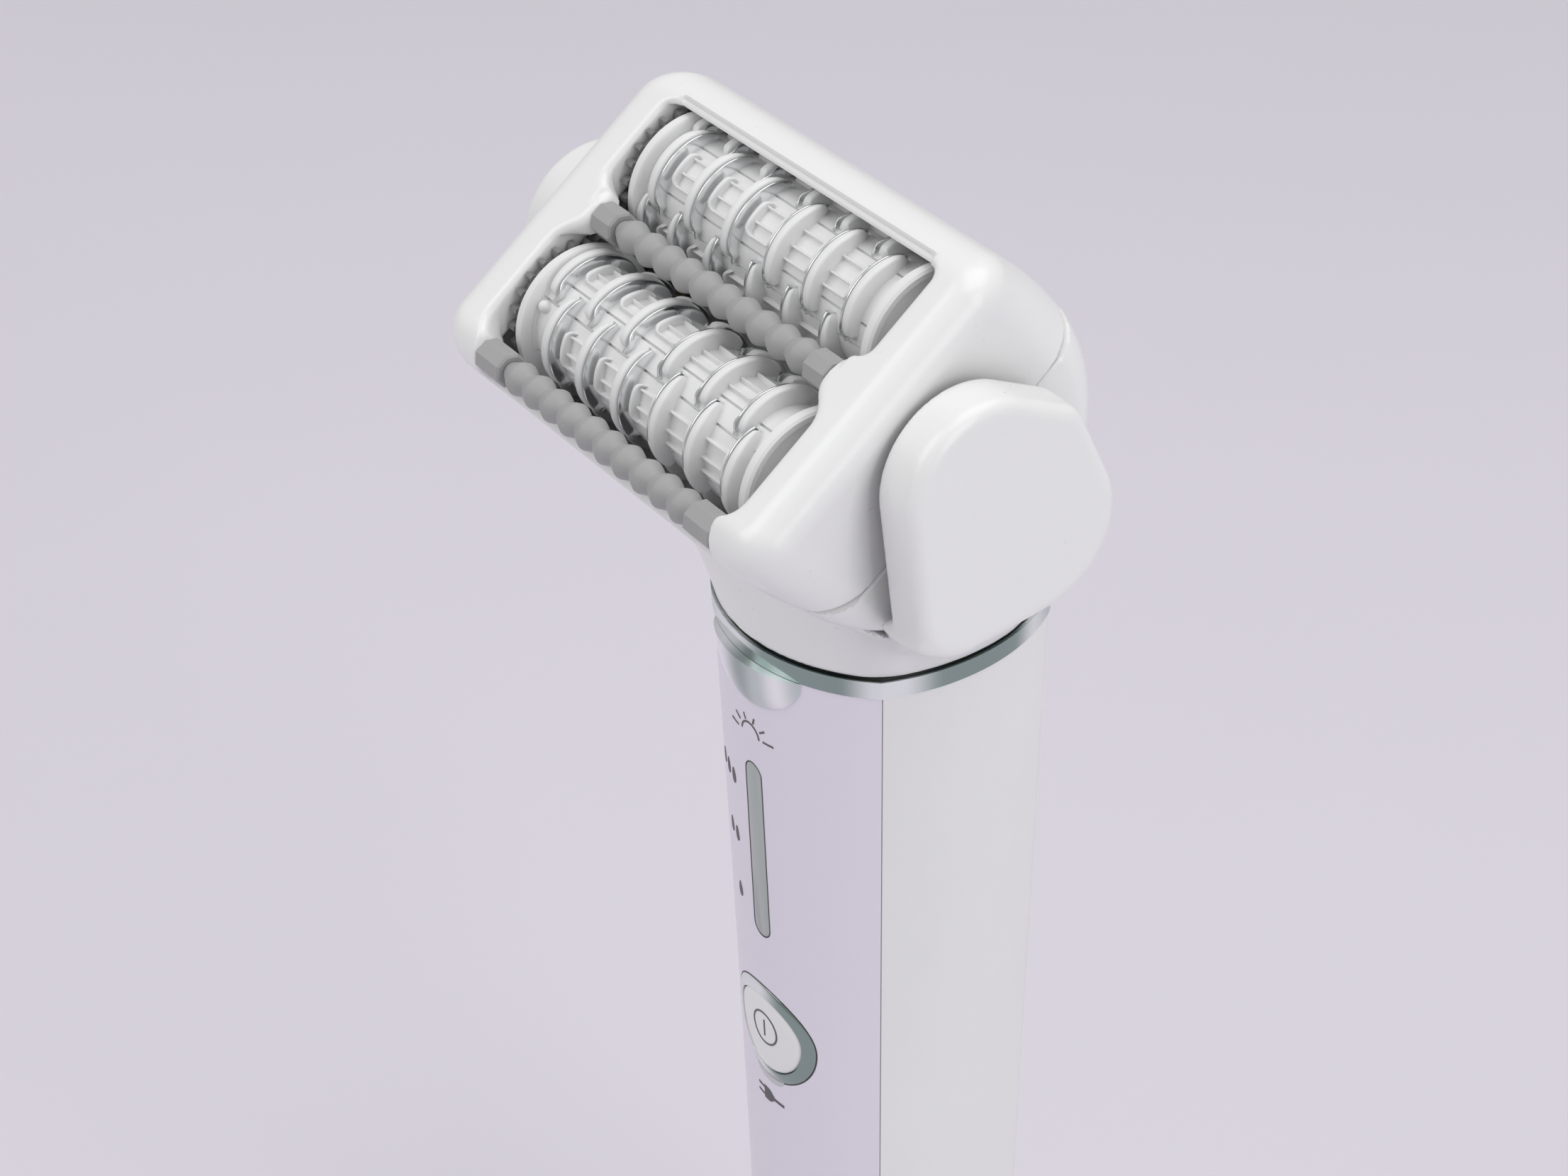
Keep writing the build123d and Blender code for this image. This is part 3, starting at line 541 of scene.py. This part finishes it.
def yoke_field(x, y, z):
    """Collar that widens into a lip, two ears with pockets and bosses, and the bowl for the barrel."""
    ax = np.abs(x)
    outline = ear_outline(y, z)
    ear = round_max(outline, EAR_X0 - ax, 0.5)
    t = np.clip((z - COLLAR_Z) / (FLARE_Z - COLLAR_Z), 0, 1)
    t = t * (0.55 + 0.45 * t)
    mix = lambda a, b: a + (b - a) * t
    pair = lambda a, b: (mix(a[0], b[0]), mix(a[1], b[1]))
    flare = 0.8 * section(x, y, pair(SEAM, LIP_SEAM), pair(FLANK, LIP_FLANK), pair(REAR, LIP_REAR),
                          mix(FRONT_Y, LIP_FRONT_Y), mix(BACK_Y, LIP_BACK_Y), 4.5, 0.8)
    flare = round_max(flare, z - FLARE_Z, 0.8)
    body = soft_min(ear, flare, 2.0)
    body = round_max(body, ax - EAR_X1, 1.15)
    body = round_max(body, COLLAR_Z - z, 0.2)
    rho = np.hypot(y - PIVOT_Y, z - PIVOT_Z)
    body = round_max(body, -(barrel(x, rho) - BOWL_GAP), 0.5)
    room = np.minimum(np.maximum(ax - EAR_X0, ARM_FLOOR - z), np.maximum(ax - THROAT_X, FLARE_Z - z))
    body = round_max(body, -room, 0.6)
    pocket = round_max(np.maximum(outline + 1.8, ax - (EAR_X1 - 1.7)), POCKET_FLOOR - z, 1.0)
    body = round_max(body, -np.maximum(pocket, EAR_X0 - 1 - ax), 0.4)
    boss = round_max(np.maximum(rho - BOSS_R, BOSS_X - ax), ax - EAR_X1 + 1.5, 0.3)
    return np.minimum(body, boss)


points, faces = zero_surface(yoke_field, (-29.6, -22.5, 131.6), (29.6, 14.5, 171.2), step + 0.05)
make("yoke_shell", points, faces, "yoke", finish["white_gloss"], ["yoke"], tidy=False)


# ---- drums ----
SECTOR_AT = (-77.0, 0.0, 77.0, 180.0)
FIN_HALF, SEAM_HALF, RAIL_HALF = 43.5, 27.2, 17.0
RIBS = (-12.5, 4.0, 16.5)


def on_drum(centre, x, r, a):
    """Cylindrical drum coordinates (degrees from +S towards +N) to the part's frame."""
    a = np.radians(a)
    x, r, a = np.broadcast_arrays(np.asarray(x, float), r, a)
    points = np.stack([x, centre + r * np.cos(a), r * np.sin(a)], -1)
    return from_head(points.reshape(-1, 3)).reshape(*x.shape, 3)


def rail_ring(x0, x1, bottom, top, soft):
    """Cross-section (x, r) of a rib with rounded shoulders."""
    soft = min(soft, (x1 - x0) / 2.05, top - bottom)
    arc = [0, 30, 60, 90]
    left = [(x0 + soft * (1 - math.cos(math.radians(d))),
             top - soft * (1 - math.sin(math.radians(d)))) for d in arc]
    right = [(x0 + x1 - px, pr) for px, pr in reversed(left)]
    return [(x0, bottom)] + left + right + [(x1, bottom)]


def add_rail(soup, centre, angles, rings):
    """Rib that runs round the drum through the cross-sections given at the angles."""
    soup.loft([on_drum(centre, [p[0] for p in ring], [p[1] for p in ring], a)
               for a, ring in zip(angles, rings)])


FIN_FACE, FIN_SOFT, FIN_RISE = 0.46, 0.26, 0.12
BLADE_AT, BLADE_THICK, BLADE_RISE, BLADE_HEIGHT = 0.62, 0.2, 0.15, 1.25
BEND_FROM, BEND_SPAN = 0.78, 0.34
GUARD_AT, GUARD_WIDTH = 1.28, 0.5
FIN_PITCH, RIB_REACH, RIB_HALF, DISC_INNER = 5.4, 4.95, 1.15, 16.2


def add_fin(soup, centre, put, middle):
    """Curved fin that is thin at one end and blunt at the other."""
    t = np.linspace(-1, 1, 31)
    rings = []
    for u in t:
        blunt = np.clip((u + 1) / 0.5, 0, 1)
        width = 0.30 + 0.62 * blunt ** 0.7
        end = np.clip((1 - abs(u)) / 0.07, 0, 1) ** 0.5
        arch = math.sqrt(max(0, 1 - (0.95 * u) ** 2))
        crest = CORE_R + FIN_RISE + (FIN_R - CORE_R - FIN_RISE) * arch * (0.55 + 0.45 * end)
        back = FIN_FACE - width * (0.75 + 0.25 * end)
        rings.append([(put(px), pr) for px, pr in rail_ring(back, FIN_FACE, CORE_R - 0.4, crest, FIN_SOFT)])
    add_rail(soup, centre, middle + FIN_HALF * t, rings)


def add_blade(soup, centre, put, middle):
    """Thin metal blade beside a fin: it curls away at one end and has a small hook at the other."""
    rings, angles = [], []
    for u in np.linspace(-1.0, 1.12, 34):
        lift = math.sqrt(max(0, 1 - (0.93 * min(1, abs(u))) ** 2))
        top = CORE_R + BLADE_RISE + BLADE_HEIGHT * lift
        shift = BLADE_AT
        if u > BEND_FROM:
            bend = (u - BEND_FROM) / BEND_SPAN
            shift = BLADE_AT + 0.30 * math.sin(math.pi * min(1, bend * 1.2)) - 0.1 * bend
            full = math.sqrt(max(0, 1 - (0.93 * BEND_FROM) ** 2))
            top = CORE_R + BLADE_RISE + BLADE_HEIGHT * full * (1 - 0.75 * bend)
        rings.append([(put(px), pr) for px, pr in rail_ring(shift, shift + BLADE_THICK, CORE_R - 0.1, top,
                                                            0.06)])
        angles.append(middle + FIN_HALF * u)
    add_rail(soup, centre, angles, rings)
    hook = [[(put(px), pr) for px, pr in rail_ring(0.30, 0.82, CORE_R - 0.1, CORE_R + 0.62, 0.08)]] * 3
    add_rail(soup, centre, [middle - FIN_HALF * share for share in (1.035, 1.02, 1.0)], hook)


def add_guard(soup, centre, put, middle):
    """Short bracket in front of a blade, its ends curled away."""
    t = np.linspace(-1, 1, 17)
    rings = []
    for u in t:
        curl = max(0, (abs(u) - 0.72) / 0.28)
        shift = GUARD_AT + 0.42 * curl ** 2
        high = CORE_R + 0.82 * math.sqrt(max(0.12, 1 - (0.9 * u) ** 4))
        rings.append([(put(px), pr) for px, pr in rail_ring(shift, shift + GUARD_WIDTH, CORE_R - 0.3, high,
                                                            0.22)])
    add_rail(soup, centre, middle + RAIL_HALF * t, rings)


def rib_reach(fx, side):
    """How far the ribs of a fin run: to the next fin, or to the middle of the drum."""
    reach = FIN_PITCH - FIN_FACE
    ahead = fx + side * reach
    if (abs(ahead) > DISC_INNER or side * ahead > 0.6) and side * ahead > 0:
        reach = (0.0 - fx) * side
    return max(min(reach, RIB_REACH), GUARD_AT + 0.6)


def add_ribs(soup, centre, put, middle, reach):
    """Low ribs across the drum, between a guard and the next fin."""
    across = [(-RIB_HALF, CORE_R - 0.2), (-RIB_HALF, CORE_R + 0.3), (-RIB_HALF * 0.5, CORE_R + 0.4),
              (RIB_HALF * 0.5, CORE_R + 0.4), (RIB_HALF, CORE_R + 0.3), (RIB_HALF, CORE_R - 0.2)]
    radii, spread = np.array([r for a, r in across]), np.array([a for a, r in across])
    for rib in RIBS:
        soup.loft([on_drum(centre, put(x), radii, middle + rib + spread) for x in (GUARD_AT + 0.3, reach)])


def build_drum(name, centre, phase, sets, nub):
    """Drum skin with end discs, hubs, fins, guards and ribs, and its blades as a piece of their own."""
    white, metal = Soup(), Soup()
    seams = sorted((phase + c + side * SEAM_HALF) % 360 for c in SECTOR_AT for side in (-1, 1))
    beside = [(s + d) % 360 for s in seams for d in (-1.2, -0.7, 0.7, 1.2)]
    angles = sorted(set(np.arange(0, 360, 3.0).tolist() + beside))

    def core_r(a):
        near = min(abs((a - s + 180) % 360 - 180) for s in seams)
        return CORE_R - 0.28 * (near < 1.0)

    profile = [(-16.2, 0.35), (-16.1, 0.0), (16.1, 0.0), (16.2, 0.35)]
    white.loft([on_drum(centre, x, np.array([core_r(a) + up for a in angles]), np.array(angles))
                for x, up in profile])
    turn = np.arange(0, 360, 5.0)
    for sign in (-1, 1):
        rim = [(16.2, 5.0), (16.28, DISC_R - 0.2), (16.45, DISC_R), (17.2, DISC_R), (17.4, DISC_R - 0.2),
               (17.4, DISC_R - 0.7), (17.25, DISC_R - 0.85), (17.25, 3.4), (17.38, 3.2), (17.38, 1.2)]
        white.loft([on_drum(centre, sign * x, np.full(len(turn), r), turn) for x, r in rim])
    hub_ends = ((-19.1, -17.3, 3.2), (17.3, 19.1, 2.6))
    for x0, x1, r in hub_ends:
        if x0 < 0:
            ends = [(x0, r - 0.25), (x0 + 0.25, r), (x1, r)]
        else:
            ends = [(x0, r), (x1 - 0.25, r), (x1, r - 0.25)]
        outer = [on_drum(centre, x, np.full(len(turn), rr), turn) for x, rr in ends]
        inner = [on_drum(centre, x, np.full(len(turn), 1.6), turn) for x in (x1, x0)]
        white.loft(outer + inner, loop=True)
    for number, offset in enumerate(SECTOR_AT):
        middle = phase + offset
        for side, fins in zip((1, -1), sets[number % 2]):
            for fx in fins:
                put = lambda x: fx + side * x
                add_fin(white, centre, put, middle)
                add_blade(metal, centre, put, middle)
                add_guard(white, centre, put, middle)
                add_ribs(white, centre, put, middle, rib_reach(fx, side))
    if nub is not None:
        rows = []
        for k in range(7):
            lift = math.cos(math.pi / 2 * k / 6)
            ring = np.arange(0, 360, 20.0)
            rows.append(on_drum(centre, -15.6 + 0.62 * lift * np.cos(np.radians(ring)),
                                CORE_R - 0.1 + 0.85 * math.sin(math.pi / 2 * k / 6) ** 0.8 + 0 * ring,
                                nub + 6.0 * lift * np.sin(np.radians(ring))))
        white.loft(rows)
    points, faces = white.arrays()
    make(f"{name}_drum_skin", points, faces, f"{name}_drum", finish["drum_white"],
         [f"{name}_drum"])
    points, faces = metal.arrays()
    make(f"{name}_drum_blades", points, faces, f"{name}_drum", finish["steel"], [f"{name}_tweezers"])


# Fin places for the even and the odd sectors, each as (left, right) of the drum's middle.
FRONT_FINS = (((-12.5, -7.2, -1.8), (4.0, 9.2, 14.6)), ((-15.3, -9.9, -4.5), (1.9, 7.4, 12.9)))
BACK_FINS = (((-15.7, -11.0, -5.6), (0.8, 6.0, 11.3)), ((-14.4, -9.0, -3.5), (2.9, 8.3, 13.7)))
FRONT_PHASE, BACK_PHASE, NUB_ANGLE = 52.0, 93.5, 109.0
build_drum("front", -DRUM_S, FRONT_PHASE, FRONT_FINS, NUB_ANGLE)
build_drum("back", DRUM_S, BACK_PHASE, BACK_FINS, None)


# ---- rollers ----
def turned(soup, s, n, profile):
    """Body of revolution about an axis along X through (s, n), from a profile of (x, r)."""
    turn = np.radians(np.arange(0, 360, 7.5))
    rings = []
    for x, r in profile:
        ring = np.stack([np.full(len(turn), x), s + r * np.cos(turn), n + r * np.sin(turn)], 1)
        rings.append(from_head(ring))
    soup.loft(rings)


BEADS, PITCH = 10, 2.75
MIDDLE_ROLLER, FRONT_ROLLER = (-0.1, 5.24), (-15.34, 4.63)


def build_roller(name, s, n):
    profile = [(-16.0, 0.05), (-16.0, 0.6), (-14.05, 0.6), (-14.0, 0.9), (-BEADS * PITCH / 2 - 0.05, 0.9)]
    for bead in range(BEADS):
        crest = (bead + 0.5 - BEADS / 2) * PITCH
        for u, r in ((-1.375, 0.98), (-1.15, 1.08), (-0.9, 1.22), (-0.55, 1.38), (-0.25, 1.47), (-0.03, 1.55),
                     (0.03, 1.55), (0.25, 1.47), (0.55, 1.38), (0.9, 1.22), (1.15, 1.08)):
            profile.append((crest + u, r))
    profile.append((BEADS * PITCH / 2, 0.98))
    profile += [(-x, r) for x, r in reversed(profile[:5])]
    soup = Soup()
    turned(soup, s, n, profile)
    points, faces = soup.arrays()
    make(f"{name}_roller_skin", points, faces, f"{name}_roller", finish["roller_grey"],
         [f"{name}_roller"], sharp=14)


build_roller("middle", *MIDDLE_ROLLER)
build_roller("front", *FRONT_ROLLER)

holders = Soup()
for (s, n), end in ((MIDDLE_ROLLER, 16.9), (FRONT_ROLLER, 17.72)):
    for sign in (-1, 1):
        turn = np.radians(np.arange(22.5, 360, 45))
        rings = []
        for x, r in ((14.1, 0.66), (14.1, 1.38), (14.25, 1.60), (end - 0.1, 1.60), (end, 1.52), (end, 0.66)):
            ring = np.stack([np.full(8, sign * x), s + r * np.cos(turn), n + r * np.sin(turn)], 1)
            rings.append(from_head(ring))
        holders.loft(rings, loop=True)
points, faces = holders.arrays()
make("roller_holder_nuts", points, faces, "frame", finish["roller_grey"], ["roller_holders"],
     sharp=25)


# ---- grip trim ----
def on_front(x, z, h):
    x, z, h = np.broadcast_arrays(np.asarray(x, float), z, h)
    return np.stack([x, front_face_y(x, z, h), z], -1)


EGG_Z = BUTTON_Z + 0.1


def egg(half_width, up, down, count=120):
    """Outline of two half ellipses, the lower one longer."""
    turn = np.radians(np.arange(count) * 360 / count)
    return half_width * np.cos(turn), EGG_Z + np.where(np.sin(turn) > 0, up, down) * np.sin(turn)


# The last number is the width of the dark ring of painted shadow round the bezel.
BEZEL_EGG, CAP_EGG, SHADOW_RIM_WIDTH = (6.2, 4.8, 6.4), (4.8, 3.6, 5.2), 0.15
rim = egg(*BEZEL_EGG)
cap = egg(*CAP_EGG)
between = lambda k: (rim[0] + (cap[0] - rim[0]) * k, rim[1] + (cap[1] - rim[1]) * k)
soup = Soup()
bezel_profile = [(0.0, -1.2), (0.0, 0.03), (0.04, 0.08), (0.5, 0.22), (0.84, 0.30), (0.90, 0.30),
                 (0.93, 0.22), (0.93, -1.2)]
soup.loft([on_front(*between(k), h) for k, h in bezel_profile], loop=True)
points, faces = soup.arrays()
make("bezel_rim", points, faces, "grip", finish["chrome"], ["button_bezel"])
# A thin dark ring round the bezel's outer edge is painted shadow, standing in for the shade in the gap between
# bezel and panel.
soup = Soup()
seat = egg(*(size + SHADOW_RIM_WIDTH for size in BEZEL_EGG))
soup.loft([on_front(*seat, -0.8), on_front(*seat, 0.02), on_front(*rim, 0.02), on_front(*rim, -0.8)],
          loop=True)
points, faces = soup.arrays()
make("bezel_painted_shadow", points, faces, "grip", finish["dark_plastic"])
soup = Soup()
shrink = lambda k: (cap[0] * (1 - k), EGG_Z + (cap[1] - EGG_Z) * (1 - k))
cap_profile = [(0.0, -1.5), (0.0, 0.10), (0.02, 0.20), (0.06, 0.27), (0.16, 0.32), (0.4, 0.34), (0.7, 0.35),
               (0.97, 0.35)]
soup.loft([on_front(*shrink(k), h) for k, h in cap_profile])
points, faces = soup.arrays()
make("power_button_cap", points, faces, "power_button", finish["white_gloss"],
     ["power_button"])

soup = Soup()
u = np.linspace(-1, 1, 33)
rings = []
for phi in np.radians(np.linspace(5, 89.5, 18)):
    z = GRIP_H - 5.0 * math.cos(phi)
    x = 6.6 * math.sin(phi) * np.sin(u * math.pi / 2)
    h = 0.02 + 1.05 * np.sqrt(np.maximum(0, 1 - (x / 6.62) ** 2 - ((GRIP_H - z) / 5.02) ** 2))
    outer, inner = on_front(x, z, h), on_front(x, z, -1.3)
    rings.append(np.concatenate([outer, inner[::-1]]))
soup.loft(rings)
points, faces = soup.arrays()
make("lens_dome", points, faces, "grip", finish["pearl_lens"], ["light_lens"])


def stadium(half, z0, z1, count=16):
    turn = np.radians(np.linspace(0, 180, count))
    x = np.concatenate([half * np.cos(turn), -half * np.cos(turn)])
    z = np.concatenate([z1 - half + half * np.sin(turn), z0 + half - half * np.sin(turn)])
    return x, z


low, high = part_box("level_window")
z0, z1 = low.z / MM, high.z / MM
# A thin dark rim round the level strip is painted shadow, standing in for the shade of the recess around it.
soup = Soup()
x, z = stadium(1.3, z0, z1)
xi, zi = stadium(1.17, z0 + 0.13, z1 - 0.13)
soup.loft([on_front(x, z, -1.0), on_front(x, z, 0.03), on_front(xi, zi, 0.01), on_front(xi, zi, -1.0)],
          loop=True)
points, faces = soup.arrays()
make("window_painted_shadow", points, faces, "grip", finish["dark_plastic"])
soup = Soup()
xs, zs = stadium(1.10, z0 + 0.2, z1 - 0.2)
soup.loft([on_front(xi, zi, -1.0), on_front(xi, zi, -0.02), on_front(xs, zs, 0.03)])
points, faces = soup.arrays()
make("level_strip", points, faces, "grip", finish["window_grey"], ["level_window"])


# ---- symbols, all generic: sun, drops, plug and power ----
def stroke(soup, path, widths, lift, thick=0.03):
    """Flat bar laid on the grip's front along (x, z) points, with a width at each."""
    path = np.asarray(path, float)
    along = np.gradient(path, axis=0)
    along /= np.linalg.norm(along, axis=1, keepdims=True)
    side = np.stack([-along[:, 1], along[:, 0]], 1) * (np.asarray(widths, float) / 2)[:, None]
    rings = []
    for p, q in zip(path, side):
        (ax, az), (bx, bz) = p - q, p + q
        rings.append(on_front([ax, bx, bx, ax], np.array([az, bz, bz, az]),
                              np.array([lift, lift, lift + thick, lift + thick])))
    soup.loft(rings)


def arc_path(cx, cz, r, a0, a1, count):
    a = np.radians(np.linspace(a0, a1, count))
    return np.stack([cx + r * np.cos(a), cz + r * np.sin(a)], 1)


marks = Soup()
stroke(marks, arc_path(-0.15, GRIP_H - 9.15, 1.35, 5, 175, 18), np.full(18, 0.2), 0.0)
# Outer and inner end (x, z from the grip's top) of each ray.
SUN_RAYS = [((-3.46, -9.14), (-2.14, -9.18)), ((-2.51, -7.8), (-1.73, -8.27)), ((-1.03, -7.08), (-0.75, -7.7)),
            ((0.6, -6.96), (0.4, -7.63)), ((2.04, -7.61), (1.34, -8.1)), ((3.11, -8.8), (1.74, -8.89))]
for (ax, az), (bx, bz) in SUN_RAYS:
    stroke(marks, [(ax, GRIP_H + az), ((ax + bx) / 2, GRIP_H + (az + bz) / 2), (bx, GRIP_H + bz)],
           [0.2] * 3, 0.0)
for row_z, drops in ((-16.4, 3), (-23.3, 2), (-30.0, 1)):
    for k in range(drops):
        cx, cz = -4.1 - 1.4 * k, GRIP_H + row_z + 0.15 * k
        t = np.linspace(-1, 1, 13)
        path = np.stack([cx + 0.1 * t, cz - 0.85 * t], 1)
        stroke(marks, path, 0.78 * np.sqrt(np.maximum(0.004, 1 - t ** 2)) * (1 + 0.25 * t) + 0.02, 0.0)
plug_z = GRIP_H - 53.5
spine = np.linspace(0, 1, 9)
stroke(marks, np.stack([-1.1 + 1.7 * spine, plug_z + 0 * spine], 1),
       1.6 * np.array([1, 1, 1, 1, 0.98, 0.9, 0.72, 0.45, 0.25]), 0.0)
stroke(marks, np.stack([0.55 + 1.5 * spine, plug_z + 0 * spine], 1), np.full(9, 0.34), 0.0)
for prong_z in (-0.45, 0.45):
    stroke(marks, np.stack([-2.2 + 1.12 * spine, plug_z + prong_z + 0 * spine], 1), np.full(9, 0.24), 0.0)
points, faces = marks.arrays()
make("panel_symbols", points, faces, "grip", finish["symbol"])

marks = Soup()
inner_r, outer_r = 1.74, 1.94
turn = np.radians(np.arange(0, 360, 6))
ring_points = [on_front(r * np.cos(turn), BUTTON_Z + r * np.sin(turn), h)
               for r, h in ((inner_r, 0.30), (outer_r, 0.30), (outer_r, 0.38), (inner_r, 0.38))]
marks.loft(ring_points, loop=True)
stroke(marks, [(0, BUTTON_Z - 1.0), (0, BUTTON_Z), (0, BUTTON_Z + 1.0)], [0.22, 0.22, 0.22], 0.30, 0.08)
points, faces = marks.arrays()
make("power_symbol", points, faces, "power_button", finish["symbol"])


# ---- stage, light, camera ----
floor_mat = surface("floor_paint", (0.70, 0.665, 0.74), 0.6, mottle=0.01, bump=0.02, grain=60)
mesh = bpy.data.meshes.new("floor")
FLOOR_HALF = 6.0
mesh.from_pydata([(-FLOOR_HALF, -FLOOR_HALF, 0), (FLOOR_HALF, -FLOOR_HALF, 0), (FLOOR_HALF, FLOOR_HALF, 0),
                  (-FLOOR_HALF, FLOOR_HALF, 0)], [], [(0, 1, 2, 3)])
mesh.materials.append(floor_mat)
floor = bpy.data.objects.new("floor", mesh)
bpy.context.scene.collection.objects.link(floor)
floor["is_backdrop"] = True

world = bpy.data.worlds.new("studio")
bpy.context.scene.world = world
world.use_nodes = True
nodes, links = world.node_tree.nodes, world.node_tree.links
background = nodes["Background"]
where = nodes.new("ShaderNodeTexCoord")
split = nodes.new("ShaderNodeSeparateXYZ")
links.new(where.outputs["Generated"], split.inputs["Vector"])
sky = nodes.new("ShaderNodeValToRGB")
sky.color_ramp.elements[0].position, sky.color_ramp.elements[1].position = 0.0, 0.75
sky.color_ramp.elements[0].color = (0.80, 0.82, 0.79, 1)
sky.color_ramp.elements[1].color = (1.0, 1.0, 1.0, 1)
links.new(split.outputs["Z"], sky.inputs["Fac"])
links.new(sky.outputs["Color"], background.inputs["Color"])
background.inputs["Strength"].default_value = 0.55

target = Vector((0.0, -0.005, 0.145))


def area(name, at, size, power):
    light = bpy.data.lights.new(name, "AREA")
    light.shape = "RECTANGLE"
    light.size, light.size_y = size
    light.energy = power
    obj = bpy.data.objects.new(name, light)
    obj.location = at
    obj.rotation_mode = "QUATERNION"
    obj.rotation_quaternion = (target - Vector(at)).to_track_quat("-Z", "Y")
    bpy.context.scene.collection.objects.link(obj)


area("key", (-0.35, -0.75, 0.85), (0.7, 0.7), 3.0)
area("top", (0.1, 0.2, 0.95), (0.8, 0.8), 3.0)
area("side", (0.95, 0.1, 0.45), (0.5, 0.8), 2.6)

CAMERA_AT = Vector((202.78, -152.69, 300.40))
camera = bpy.data.cameras.new("camera")
camera.sensor_width = 36.0
camera.lens = 77.37
camera.clip_start, camera.clip_end = 0.01, 30.0
cam = bpy.data.objects.new("camera", camera)
azimuth, elevation, roll = math.radians(55.12), math.radians(33.73), math.radians(-0.51)
back = Vector((math.sin(azimuth) * math.cos(elevation), -math.cos(azimuth) * math.cos(elevation),
               math.sin(elevation)))
level = Vector((math.cos(azimuth), math.sin(azimuth), 0))
up = back.cross(level)
right = level * math.cos(roll) + up * math.sin(roll)
up = back.cross(right)
turn_to = Matrix((right, up, back)).transposed()
cam.rotation_mode = "QUATERNION"
cam.rotation_quaternion = turn_to.to_quaternion()
cam.location = CAMERA_AT * MM
bpy.context.scene.collection.objects.link(cam)
bpy.context.scene.camera = cam
bpy.context.scene.view_settings.view_transform = "Standard"

low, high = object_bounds()
